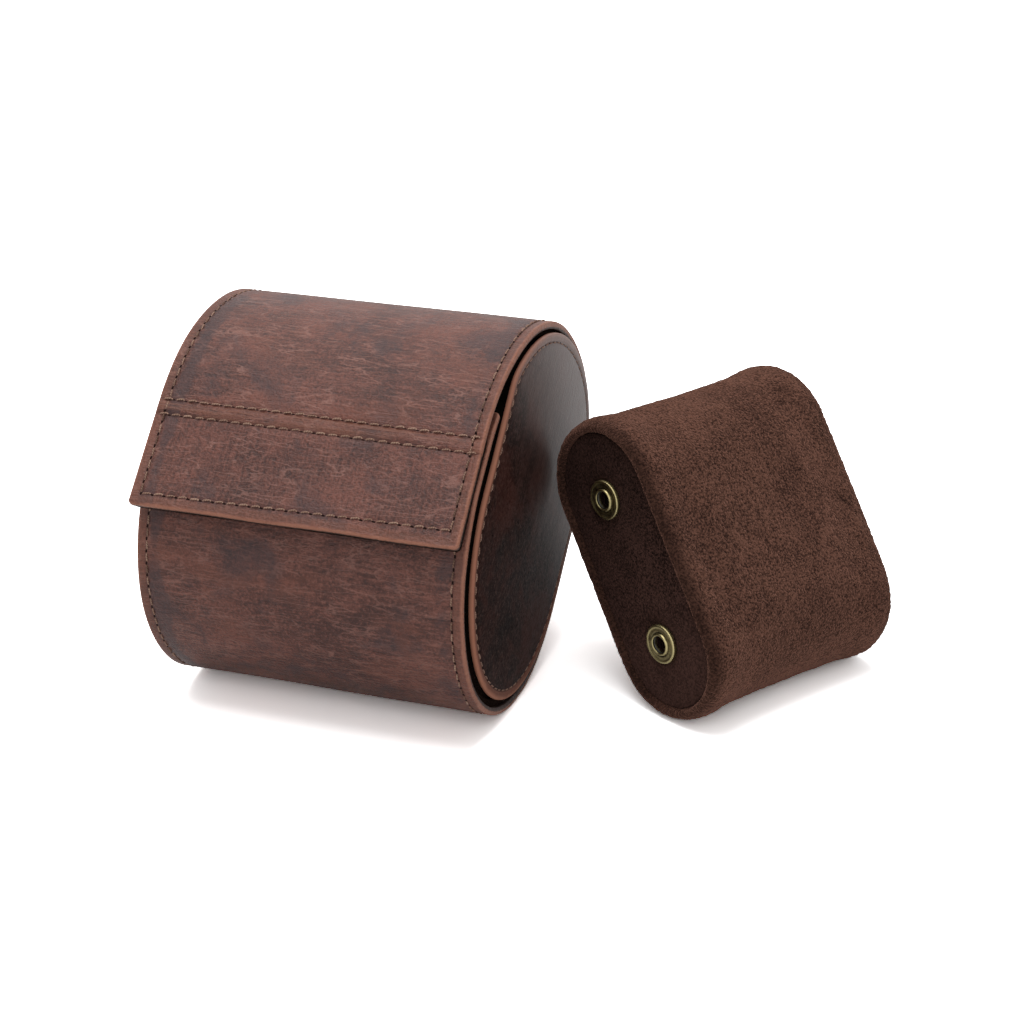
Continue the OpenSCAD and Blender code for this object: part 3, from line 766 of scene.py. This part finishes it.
def stitches(name, rows, slot_name):
    """Threads and needle holes along rows. A row is (points, outward directions, slant, whether
    its threads are dark, size); its points are in metres and evenly spaced a pitch apart. Each
    thread spans from one point towards the next."""
    verts, faces, keys, kinds = [], [], [], []
    rng = np.random.default_rng(sum(map(ord, name)))
    k = STITCH_STEPS[:, None]
    arch = np.clip(1 - (2 * np.abs(k - 0.5)) ** 3.6, 0, 1)
    rise = 0.18 + 0.82 * k - 1.0 * np.clip((k - 0.78) / 0.22, 0, 1) ** 1.5
    for points, outs, slant, dark, size in rows:
        for i in range(len(points) - 1):
            a, b, n = points[i], points[i + 1], outs[i] + outs[i + 1]
            n = n / np.linalg.norm(n)
            way = (b - a) / np.linalg.norm(b - a)
            across = np.cross(n, way)
            off = slant * (THREAD_SLANT + 0.06 * rng.normal()) * MM
            r = THREAD_R * size * (1 + 0.07 * rng.normal()) * MM
            top = (THREAD_RISE * size ** 2 + 0.04 * rng.normal() * size) * MM
            start, end = 0.09 + 0.02 * rng.normal(), 0.94 + 0.015 * rng.normal()
            core = a + (b - a) * (start + (end - start) * k)
            core = core + n * (top * arch - THREAD_DIVE * MM * (1 - arch)) + across * off * rise
            loop = np.cos(ROUND)[None, :, None] * across + np.sin(ROUND)[None, :, None] * n
            tube = core[:, None] + loop * (r * (0.66 + 0.34 * arch))[:, :, None]
            tube[..., 2] += max(0.0, -tube[..., 2].min())
            faces.extend([len(verts) + j for j in face] for face in THREAD_FACES + HOLE_FACES)
            verts.extend(tube.reshape(-1, 3))
            number = rng.uniform(0, 1000) + DARK_THREAD * dark
            keys.extend((step * PITCH, ang, number) for step in STITCH_STEPS for ang in ROUND)
            # the needle hole past the thread's end: a lens painted near-black as the painted shade
            # of the hole, slanted as an awl leaves it
            c = b + (across * 0.03 * slant - way * 0.03 * PITCH) * MM
            c[2] = max(c[2], (HOLE_DEPTH + 0.05) * MM)
            tilt = 0.6 * slant
            long_way = math.sqrt(1 - tilt * tilt) * way - tilt * across
            wide_way = np.cross(n, long_way)
            rim = (np.cos(HOLE_ROUND)[:, None] * long_way * HOLE_LONG
                   + np.sin(HOLE_ROUND)[:, None] * wide_way * HOLE_WIDE)
            verts.extend(c + n * 0.015 * MM + rim * size * MM)
            verts += [c + n * 0.05 * MM, c - n * HOLE_DEPTH * MM]
            keys.extend([(0.0, 0.0, number)] * (HOLE_SIDES + 2))
            kinds += [0] * len(THREAD_FACES) + [1] * len(HOLE_FACES)
    obj = make_mesh(name, verts, faces, {"rest": np.array(keys)})
    obj.data.polygons.foreach_set("material_index", kinds)
    return dress(obj, slot_name, thread, needle_hole)


def on_wrap(u, x):
    """Points and outward directions on the wrap's face."""
    u, x = np.broadcast_arrays(np.asarray(u, float), np.asarray(x, float))
    place, out = wrap_line(u)
    st = place + out * wrap_relief(u, x)[:, None]
    return to_world(x, *st.T), (to_world(0, *out.T) - world_st(0, 0)) / MM


def pitched(lo, hi):
    """Places from lo to hi, as near to a pitch apart as a whole number of threads allows."""
    return np.linspace(lo, hi, int(round((hi - lo) / PITCH)) + 1)


def wrap_row(u_of, lo, hi):
    """A row across the wrap."""
    x = pitched(lo, hi)
    return (*on_wrap(u_of(x), x), 1, 0, 1.0)


def end_row(side, lo, hi):
    """A row along one end of the wrap."""
    return (*on_wrap(pitched(lo, hi), side * END_LINE), -0.5 * side, 1, 0.95)


row_end = HALF_LEN - 0.9
top_rows = [wrap_row(lambda x, at=at: at + 0 * x, -row_end, row_end) for at in (ROW_1, ROW_2)]
top_rows.append(wrap_row(row_3, -END_LINE, END_LINE))
top_rows += [end_row(side, JOIN + 0.8, float(row_3(side * END_LINE))) for side in (-1, 1)]
back_rows = [end_row(side, 2.6, JOIN - 0.8) for side in (-1, 1)]
stitch_top = stitches("stitch_top", top_rows, "wrap_leather")
stitch_back = stitches("stitch_back", back_rows, "wrap_leather")

# the wrap, lining and stitches get their transforms baked into their meshes
for obj in (wrap_back, lining_back, stitch_back):
    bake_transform(obj)
for obj in (wrap_top, lining_top, stitch_top):
    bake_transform(obj)

# ---- end panels ----

PANEL_MID = UP_CENTRE / 2
CORNER_EASE = 1.6
MEAN_R = 40  # of the outline, roughly


def panel_polar(inset, angles):
    """Radii of the end panel's outline about PANEL_MID, one distance inside the wrap's face,
    with its one corner eased."""
    low, front = LOW_R - inset, LID_FRONT_R - inset
    meet = math.asin((low - FRONT_CENTRE[1]) / front)
    corner = FRONT_CENTRE[0] + front * math.cos(meet)
    line = np.concatenate([
        low * ray(np.linspace(math.pi / 2, 3 * math.pi / 2, 500, endpoint=False)),
        np.linspace((0, -low), (BACK_LEN, -low), 100, endpoint=False),
        UP_CENTRE + (UP_R - inset) * ray(np.linspace(-math.pi / 2, LID_LEAVE, 220, endpoint=False)),
        FRONT_CENTRE + front * ray(np.linspace(LID_LEAVE, meet, 360, endpoint=False)),
        np.linspace((corner, low), (0, low), 120, endpoint=False)])
    line = line - [0, PANEL_DROP] - PANEL_MID
    turn = np.arctan2(line[:, 1], line[:, 0])
    order = np.argsort(turn)
    radius = np.interp(angles, turn[order], np.linalg.norm(line, axis=1)[order], period=2 * math.pi)
    count = len(angles)
    sigma = CORNER_EASE / (2 * math.pi * MEAN_R / count)
    k = np.exp(-0.5 * (np.minimum(np.arange(count), count - np.arange(count)) / sigma) ** 2)
    return np.real(np.fft.ifft(np.fft.fft(radius) * np.fft.fft(k / k.sum())))


def plate(name, frame_of, rings, face_at, thick, radius, flip):
    """A closed plate with rounded edges. rings is a list of (2D points, distance from the edge),
    frame_of(points, height) gives places in metres, and face_at(points, distance) the height of
    the plate's face."""
    count = len(rings[0][0])
    front, back = [], []
    for line, dist in rings:
        body = edge_round(dist, radius)
        front.append((face_at(line, dist) - thick / 2 * (1 - body), line, dist))
        back.append((np.full(count, -thick / 2 * (1 + body)), line, dist))
    order = back[::-1] + front[1:]
    verts = np.concatenate([frame_of(line, height) for height, line, _ in order])
    keys = np.concatenate([np.column_stack([line, height]) for height, line, _ in order])
    dists = np.repeat([float(dist) for _, _, dist in order], count)
    faces = grid_faces(len(order), count, flip, True).tolist()
    for row, turned in ((0, flip), (len(order) - 1, not flip)):
        loop = slice(row * count, (row + 1) * count)
        middle = len(verts)
        verts = np.vstack([verts, verts[loop].mean(0)])
        keys = np.vstack([keys, keys[loop].mean(0)])
        dists = np.append(dists, rings[-1][1])
        for i in range(count):
            a, b = row * count + i, row * count + (i + 1) % count
            faces.append([b, a, middle] if turned else [a, b, middle])
    return make_mesh(name, verts, faces, {"rest": keys, "edge": dists})


PANEL_COUNT = 400
SKIN_INSET = 3.0
SKIN_T = 1.25
# how much further in the hand-cut panel lies, every 45 degrees from the section's upper end
# towards its front
SKIN_EXTRA = [-0.65, -0.85, 1.2, 1.9, 0.6, 1.6, 0.2, -0.1]
angles = np.linspace(0, 2 * math.pi, PANEL_COUNT, endpoint=False)
RING_STEPS = [0, 0.04, 0.1, 0.18, 0.3, 0.45, 0.65, 0.9, 1.2, 1.55, 1.8, 2.02, 2.2, 2.35, 2.5, 2.68,
              2.9, 3.3, 3.9, 4.8, 6.0, 7.5]


def skin_polar(inset):
    """Radii of the panel's skin, as far in from its own edge as inset."""
    extra = np.interp(angles, np.linspace(0, 2 * math.pi, 9), SKIN_EXTRA + SKIN_EXTRA[:1])
    for _ in range(60):
        extra = (np.roll(extra, 5) + extra + np.roll(extra, -5)) / 3
    return panel_polar(SKIN_INSET + inset, angles) - extra


def plate_rings(outline, shrink, reach):
    """Rings of a plate: close together near its edge, then drawn in towards its middle."""
    rings = [(outline(d), d) for d in RING_STEPS]
    last, inner = rings[-1]
    return rings + [(last * k, inner + reach * (1 - k)) for k in shrink]


def panel_rings(outline):
    return plate_rings(lambda d: outline(d)[:, None] * ray(angles), np.linspace(0.93, 0.05, 14), 30)


def panel_dish(line, dist):
    """The panel's face: pulled in along its stitches, faintly crowned inside them."""
    inside = dist - RING_INSET
    return (groove(inside, 0.5, 0.26) + 0.35 * np.clip(inside / 12, 0, 1) ** 0.7
            + 0.07 * smooth_noise(41, *line.T / 11))


def suede_polar(inset):
    return panel_polar(PANEL_INSET + LINING_INSET + inset, angles)


def flat_face(line, dist):
    return np.zeros(len(line))


for side, word in ((-1, "left"), (1, "right")):
    def panel_frame(line, height, face=PANEL_FACE):
        return to_world(side * (face + height), *(line + PANEL_MID).T)

    def lining_frame(line, height):
        return panel_frame(line, height, PANEL_FACE - SKIN_T - GLUE)

    skin = plate("panel_skin_" + word, panel_frame, panel_rings(skin_polar), panel_dish,
                 SKIN_T, 0.7, side < 0)
    dress(skin, "panel_leather")
    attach(skin, "case")
    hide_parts("panel_leather_" + word)
    back = plate("panel_suede_" + word, lining_frame, panel_rings(suede_polar), flat_face,
                 PANEL_T - SKIN_T - GLUE, 0.6, side < 0)
    dress(back, "lining_suede")
    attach(back, "case")
    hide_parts("panel_lining_" + word)
    ring = skin_polar(RING_INSET)[:, None] * ray(angles)
    closed = np.vstack([ring, ring[:1]])
    along = np.concatenate([[0], np.cumsum(np.linalg.norm(np.diff(closed, axis=0), axis=1))])
    count = int(round(along[-1] / PITCH))
    want = np.linspace(0, along[-1], count + 1)
    even = np.stack([np.interp(want, along, closed[:, i]) for i in range(2)], -1)
    points = panel_frame(even, panel_dish(even, RING_INSET))
    outs = np.tile([float(side), 0, 0], (len(points), 1))
    row = (points, outs, 0.3 * side, 0, 0.72)
    seam = stitches("panel_stitch_" + word, [row], "panel_leather")
    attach(seam, "case")


# Suede bands that tie the panels to the body: an L in section, swept along the wrap
BAND_INNER = PANEL_FACE - PANEL_T - GLUE
BAND_NEAR = WALL_T + GLUE
BAND_TIP = 0.28
# the section as (inwards from the panel's back, inwards from the wrap's lining)
BAND_SHAPE = [
    (0, 0), (0, BAND_W - BAND_TIP), (BAND_TIP, BAND_W), (BAND_T - BAND_TIP, BAND_W),
    (BAND_T, BAND_W - BAND_TIP), (BAND_T, BAND_T + 1.1), (BAND_T + 0.25, BAND_T + 0.4),
    (BAND_T + 1.1, BAND_T), (BAND_W - BAND_TIP, BAND_T), (BAND_W, BAND_T - BAND_TIP),
    (BAND_W, BAND_TIP), (BAND_W - BAND_TIP, 0)]


def corner_band(side, word):
    shape = np.array([(BAND_INNER - x, BAND_NEAR + depth) for x, depth in BAND_SHAPE])
    us = np.linspace(SEWN_MARGIN + 0.3, U_HINGE - SEWN_MARGIN - 0.3, 150)
    place, out = wrap_line(us)
    verts, keys = [], []
    for (p, o, u) in zip(place, out, us):
        wave = 0.08 * math.sin(u / 4.0) + 0.05 * math.sin(u / 1.7 + 1)
        pts = shape + np.where(shape > shape.min(0) + 1.5, wave, 0) * [-1, 0]
        st = p - o * pts[:, 1:2]
        verts.append(to_world(side * pts[:, 0], st[:, 0], st[:, 1]))
        keys.append(np.column_stack([pts[:, 0], np.full(len(pts), u), pts[:, 1]]))
    faces = tube_faces(len(us), len(shape), side < 0)
    # none of the band's edges gets the painted shade of the cut edges
    no_cut_edge_shade = np.full(len(us) * len(shape), 9.0)  # no edge of it shows as cut
    band = make_mesh("corner_band_soft_" + word, np.concatenate(verts), faces,
                     {"rest": np.concatenate(keys), "edge": no_cut_edge_shade})
    dress(band, "lining_suede")
    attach(band, "case")
    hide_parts("corner_band_" + word)


corner_band(-1, "left")
corner_band(1, "right")

# ---- pillow ----

reach = math.cos(PILLOW_YAW) * (PILLOW_GAP / 2 * math.sin(PILLOW_LEAN) + PILLOW_R)
PILLOW_AT = np.array([PANEL_FACE + PILLOW_AIR + reach, PILLOW_Y,
                      PILLOW_GAP / 2 * math.cos(PILLOW_LEAN) + PILLOW_R])


def turn(axis, angle):
    """A turn about axis 0, 1 or 2, as a matrix."""
    a, b = (axis + 1) % 3, (axis + 2) % 3
    matrix = np.eye(3)
    matrix[a, a] = matrix[b, b] = math.cos(angle)
    matrix[b, a] = math.sin(angle)
    matrix[a, b] = -math.sin(angle)
    return matrix


PILLOW_TURN = turn(2, -PILLOW_YAW) @ turn(1, -PILLOW_LEAN) @ turn(0, math.pi / 2)


def pillow_world(p):
    """Points of the pillow's frame: X out of its flat side, Y up its length, Z out of its
    socket end."""
    return (PILLOW_AT + np.asarray(p) @ PILLOW_TURN.T) * MM


def obround(radius, count):
    """Middle line and outward directions round the pillow's section, in its X and Y."""
    half = math.pi * radius
    q = np.linspace(0, 2 * half + 2 * PILLOW_GAP, count, endpoint=False)
    corner = [PILLOW_GAP, PILLOW_GAP + half, 2 * PILLOW_GAP + half]
    angle = np.clip(q - corner[0], 0, half) / radius + np.clip(q - corner[2], 0, half) / radius
    up = np.clip(q, 0, PILLOW_GAP) - np.clip(q - corner[1], 0, PILLOW_GAP) - PILLOW_GAP / 2
    return np.column_stack([0 * q, up]), ray(angle)


RING_COUNT = 150
spine, section_out = obround(PILLOW_R, RING_COUNT)
LIP = 5.2
SLEEVE_ZS = np.linspace(-LIP, -(PILLOW_W - LIP), 32)
START_INSET = 0.9
CAP = 1.35
SIM_SCALE = 10.0
SIM_FRAMES = 20


def swell():
    """How far the cover stands out from its starting shape, in millimetres, at each point of the
    sleeve. It is cloth under a little pressure, run ten times life size, pinned at its lips."""
    rows = len(SLEEVE_ZS)
    line = spine + section_out * (PILLOW_R - START_INSET)
    pts = np.concatenate([np.column_stack([line, np.full(RING_COUNT, z)]) for z in SLEEVE_ZS])
    body = make_mesh("cloth_body", pts * MM * SIM_SCALE, tube_faces(rows, RING_COUNT, True))
    group = body.vertex_groups.new(name="pin")
    for i, weight in ((0, 1.0), (1, 0.5), (rows - 2, 0.5), (rows - 1, 1.0)):
        group.add([i * RING_COUNT + j for j in range(RING_COUNT)], weight, "REPLACE")
    cloth = body.modifiers.new("cloth", "CLOTH").settings
    for key, value in dict(quality=5, mass=0.4, tension_stiffness=8, compression_stiffness=8,
                           shear_stiffness=4, bending_stiffness=0.6, use_pressure=True,
                           uniform_pressure_force=4, vertex_group_mass="pin").items():
        setattr(cloth, key, value)
    cloth.effector_weights.gravity = 0
    scene = bpy.context.scene
    for f in range(1, SIM_FRAMES + 1):
        scene.frame_set(f)
    made = body.evaluated_get(bpy.context.evaluated_depsgraph_get())
    co = fetch(made.data.vertices, "co")
    scene.frame_set(1)
    moved = (co / MM / SIM_SCALE - pts).reshape(rows, RING_COUNT, 3)
    bpy.data.objects.remove(body, do_unlink=True)
    out = (moved[..., :2] * section_out).sum(-1)
    print(f"swell: moved {out.min():.2f} to {out.max():.2f} mm before its cap")
    return np.clip(out, -0.4, CAP)


def sleeve_relief(p):
    """Unevenness of the sleeve at points of the pillow's frame, and the shallow waist that a
    strap has pressed into it."""
    x, y, z = p[..., 0], p[..., 1], p[..., 2]
    waist = np.exp(-((z + PILLOW_W / 2) / 11.5) ** 4)
    return (-0.05 * waist + 0.2 * smooth_noise(51, x / 9, y / 11, z / 10)
            + 0.07 * smooth_noise(52, x / 3.2, y / 3.2, z / 3.2))


FAR_STRETCH = 1.0
swollen = swell()
# the rolled lip at each end, as (depth below the sleeve's face, place along the pillow)
lip = [(SLEEVE_T, -7.0), (SLEEVE_T, -3.6), (SLEEVE_T, -2.0), (SLEEVE_T - 0.06, -1.1),
       (SLEEVE_T - 0.26, -0.48), (SLEEVE_T - 0.62, -0.1), (2.15, 0.0), (1.72, -0.1), (1.24, -0.42),
       (0.8, -0.95), (0.44, -1.7), (0.18, -2.7), (0.04, -3.9)]
sections = [(d, z, None) for d, z in lip] + [(0.0, z, i) for i, z in enumerate(SLEEVE_ZS)] \
    + [(d, -PILLOW_W - z, None) for d, z in lip[::-1]]
grid = []
for d, z, i in sections:
    p = np.column_stack([spine + section_out * (PILLOW_R - d), np.full(RING_COUNT, z)])
    grow = sleeve_relief(p) * max(0.0, 1 - d / 1.4)
    if i is not None:
        grow = grow + (swollen[i] - START_INSET) * min(1.0, min(i, len(SLEEVE_ZS) - 1 - i) / 4)
    # the cover stands fuller near its ends, most at the far one, than where a strap goes round
    ends = 0.1 * np.exp(-((z + 6) / 8) ** 2) + 0.8 * np.exp(-((z + PILLOW_W - 5) / 14) ** 2)
    grow = grow + ends * max(0.0, 1 - d / SLEEVE_T)
    if z < -PILLOW_W / 2:
        p[:, 2] -= FAR_STRETCH * min(1.0, (-PILLOW_W / 2 - z) / (PILLOW_W / 2 - LIP))
    p[:, :2] += section_out * grow[:, None]
    grid.append(p)
grid = np.array(grid)
cover = make_mesh("pillow_cover", pillow_world(grid).reshape(-1, 3),
                  grid_faces(len(sections), RING_COUNT, True, True, True).tolist(),
                  {"rest": grid.reshape(-1, 3)})
cover.modifiers.new("finer", "SUBSURF").levels = 1
finer = cover.evaluated_get(bpy.context.evaluated_depsgraph_get())
fine_mesh = bpy.data.meshes.new_from_object(finer)
cover.modifiers.clear()
cover.data = fine_mesh
# the nap's fine unevenness, which roughens the outline
NAP_MAX = 0.17
co, normals = fetch(fine_mesh.vertices, "co"), fetch(fine_mesh.vertex_normals, "vector")
nap = (0.06 * smooth_noise(61, *(co.T / MM * 1.3))
       + 0.075 * np.random.default_rng(7).normal(size=len(co)))
co = co + normals * np.clip(nap, -NAP_MAX, NAP_MAX)[:, None] * MM
co[:, 0] = np.maximum(co[:, 0], (PANEL_FACE + 0.4) * MM)
co[:, 2] = np.maximum(co[:, 2], 0.0)
store_points(fine_mesh, co)
dress(cover, "pillow_suede")
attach(cover, "pillow")
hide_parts("pillow_sleeve")

DISC_R = PILLOW_R - SLEEVE_T - DISC_GAP
disc_spine, disc_out = obround(DISC_R, 220)


def puff(line, dist, crown, seed):
    """A disc's face, faintly crowned and uneven."""
    return (crown * np.clip(dist / 5.0, 0, 1) ** 0.8
            + 0.10 * smooth_noise(seed, line[:, 0] / 5, line[:, 1] / 6))


def near_puff(line, dist):
    """The face of the disc with the sockets, drawn down under each of them."""
    face = puff(line, dist, 0.55, 71)
    near = np.min([np.linalg.norm(line - place[:2], axis=1) for place in SNAP_PLACES], axis=0)
    return face - (face - 0.06) * np.exp(-(near / 7.2) ** 6) * np.clip(dist / 1.0, 0, 1)


def far_puff(line, dist):
    return puff(line, dist, 0.6, 72)


def near_frame(line, height):
    return pillow_world(np.column_stack([line, height - DISC_INSET]))


def far_frame(line, height):
    return pillow_world(np.column_stack([line, DISC_INSET - PILLOW_W - height]))


disc_rings = plate_rings(lambda d: disc_spine + disc_out * (DISC_R - d),
                         np.linspace(0.94, 0.04, 22), 20)
for word, place, face, flip, look in (("near", near_frame, near_puff, False, disc_suede_shaded),
                                      ("far", far_frame, far_puff, True, pillow_suede)):
    disc = plate("disc_skin_" + word, place, disc_rings, face, DISC_T, 0.55, flip)
    dress(disc, "pillow_suede", look)
    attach(disc, "pillow")
    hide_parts("pillow_disc_" + word)

# Sockets: a milled rim, dished face and raised collar round the hole. The profile is
# (radius, height, how rubbed it is)
SOCKET = [
    (2.2, 0.04, 0.1), (4.75, 0.04, 0.1), (4.95, 0.16, 0.3), (5.0, 0.34, 0.5), (5.0, 0.9, 0.8),
    (4.95, 1.08, 1.0), (4.82, 1.2, 1.0), (4.6, 1.27, 1.0), (4.38, 1.24, 0.9), (4.2, 1.16, 0.45),
    (4.0, 1.12, 0.3), (3.7, 1.12, 0.35), (3.4, 1.13, 0.35), (3.2, 1.12, 0.25), (3.05, 1.02, 0.05),
    (2.95, 1.04, 0.0), (2.88, 1.2, 0.25), (2.8, 1.42, 0.7), (2.66, 1.56, 0.95), (2.5, 1.6, 0.9),
    (2.33, 1.56, 0.7), (2.23, 1.47, 0.4), (2.2, 1.34, 0.1), (2.2, 1.06, 0.0), (2.57, 1.06, 0.0),
    (2.57, 0.54, 0.0), (2.2, 0.54, 0.0)]
MILL_TEETH, MILL_DEPTH = 48, 0.045
SPIN = np.linspace(0, 2 * math.pi, 240, endpoint=False)
verts, faces, keys, wear = [], [], [], []
for n, (sx, sy, sz) in enumerate(SNAP_PLACES):
    for r, h, rubbed in SOCKET:
        mill = MILL_DEPTH * np.cos(MILL_TEETH * SPIN) * (r > 4.3) * (h > 0.5)
        ring = (r + mill)[:, None] * ray(SPIN) + [sx, sy]
        keys.append(np.column_stack([ring, np.full(len(SPIN), sz + h)]))
        verts.append(pillow_world(keys[-1]))
        wear.append(np.clip(rubbed + 6 * mill, 0, 1))
    base = n * len(SOCKET) * len(SPIN)
    faces.append(grid_faces(len(SOCKET), len(SPIN), False, True, True) + base)
sockets = make_mesh("socket_rings", np.concatenate(verts), np.concatenate(faces).tolist(),
                    {"rest": np.concatenate(keys), "wear": np.concatenate(wear)})
dress(sockets, "brass", socket_brass)
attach(sockets, "pillow")
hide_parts("snap_sockets")

# ---- camera, light and floor ----

AZIMUTH, ELEVATION = math.radians(18.948), math.radians(23.2375)
CAMERA_AT = (0.2028, -0.47496, 0.26588)
SENSOR_W, FOCAL_PIXELS, IMAGE_PIXELS = 36, 2254.32, 1024


def aim(obj, place, direction):
    """Put a camera or lamp at a place, looking in a direction."""
    obj.location = place
    obj.rotation_mode = "QUATERNION"
    obj.rotation_quaternion = direction.to_track_quat("-Z", "Y")


cam_data = bpy.data.cameras.new("camera")
cam_data.sensor_width = SENSOR_W
cam_data.lens = FOCAL_PIXELS * SENSOR_W / IMAGE_PIXELS
cam = link("camera", cam_data)
aim(cam, CAMERA_AT, Vector((-math.sin(AZIMUTH) * math.cos(ELEVATION),
                            math.cos(AZIMUTH) * math.cos(ELEVATION), -math.sin(ELEVATION))))
bpy.context.scene.camera = cam
bpy.context.scene.view_settings.view_transform = "Standard"


def seen_mask(tree):
    """1 for camera, glossy and transmission rays."""
    path = add_node(tree, "LightPath").outputs
    value = path["Is Camera Ray"]
    for name in ("Is Glossy Ray", "Is Transmission Ray"):
        value = add_node(tree, "Math", {0: value, 1: path[name]}, operation="MAXIMUM").outputs[0]
    return value


def choose(tree, mask, first, second):
    """The first shader where the mask is 0, the second where it is 1."""
    return add_node(tree, "MixShader", {0: mask, 1: first, 2: second}).outputs[0]


def empty_tree(owner):
    owner.use_nodes = True
    owner.node_tree.nodes.clear()
    return owner.node_tree


# The world lights the object softly and is seen white
WORLD_LIGHT = 0.42
world = bpy.data.worlds.new("studio")
bpy.context.scene.world = world
tree = empty_tree(world)
dim, white = (add_node(tree, "Background", {"Color": (1, 1, 1, 1), "Strength": strength}).outputs[0]
              for strength in (WORLD_LIGHT, 1.0))
add_node(tree, "OutputWorld", {"Surface": choose(tree, seen_mask(tree), dim, white)})


def area_light(name, place, target, size, power):
    data = bpy.data.lights.new(name, "AREA")
    data.shape = "RECTANGLE"
    data.size, data.size_y = size
    data.energy = power
    aim(link(name, data), place, Vector(target) - Vector(place))


area_light("top_light", (-0.08, 0.02, 0.95), (0.02, 0, 0.04), (0.9, 0.7), 5.7)
area_light("front_light", (0.30, -0.85, 0.60), (0.02, 0, 0.04), (0.6, 0.5), 1.2)

# The floor lights the object as a plain pale floor. Reflections see it white, and the camera
# sees it bright enough to be white outside the object's shadow.
FLOOR_HALF, FLOOR_Z = 6, -0.0002
FLOOR_PALE, FLOOR_WHITE, FLOOR_SEEN = 0.85, 1.0, 3.1
corners = [(x, y, FLOOR_Z) for x, y in ((-FLOOR_HALF, -FLOOR_HALF), (FLOOR_HALF, -FLOOR_HALF),
                                        (FLOOR_HALF, FLOOR_HALF), (-FLOOR_HALF, FLOOR_HALF))]
floor_mesh = bpy.data.meshes.new("floor")
floor_mesh.from_pydata(corners, [], [(0, 1, 2, 3)])
floor = link("floor", floor_mesh)
floor_mat = bpy.data.materials.new("floor")
tree = empty_tree(floor_mat)
pale, white, bright = (add_node(tree, "BsdfDiffuse", {"Color": (level, level, level, 1)}).outputs[0]
                       for level in (FLOOR_PALE, FLOOR_WHITE, FLOOR_SEEN))
camera_ray = add_node(tree, "LightPath").outputs["Is Camera Ray"]
unseen = choose(tree, seen_mask(tree), pale, white)
add_node(tree, "OutputMaterial", {"Surface": choose(tree, camera_ray, unseen, bright)})
floor_mesh.materials.append(floor_mat)
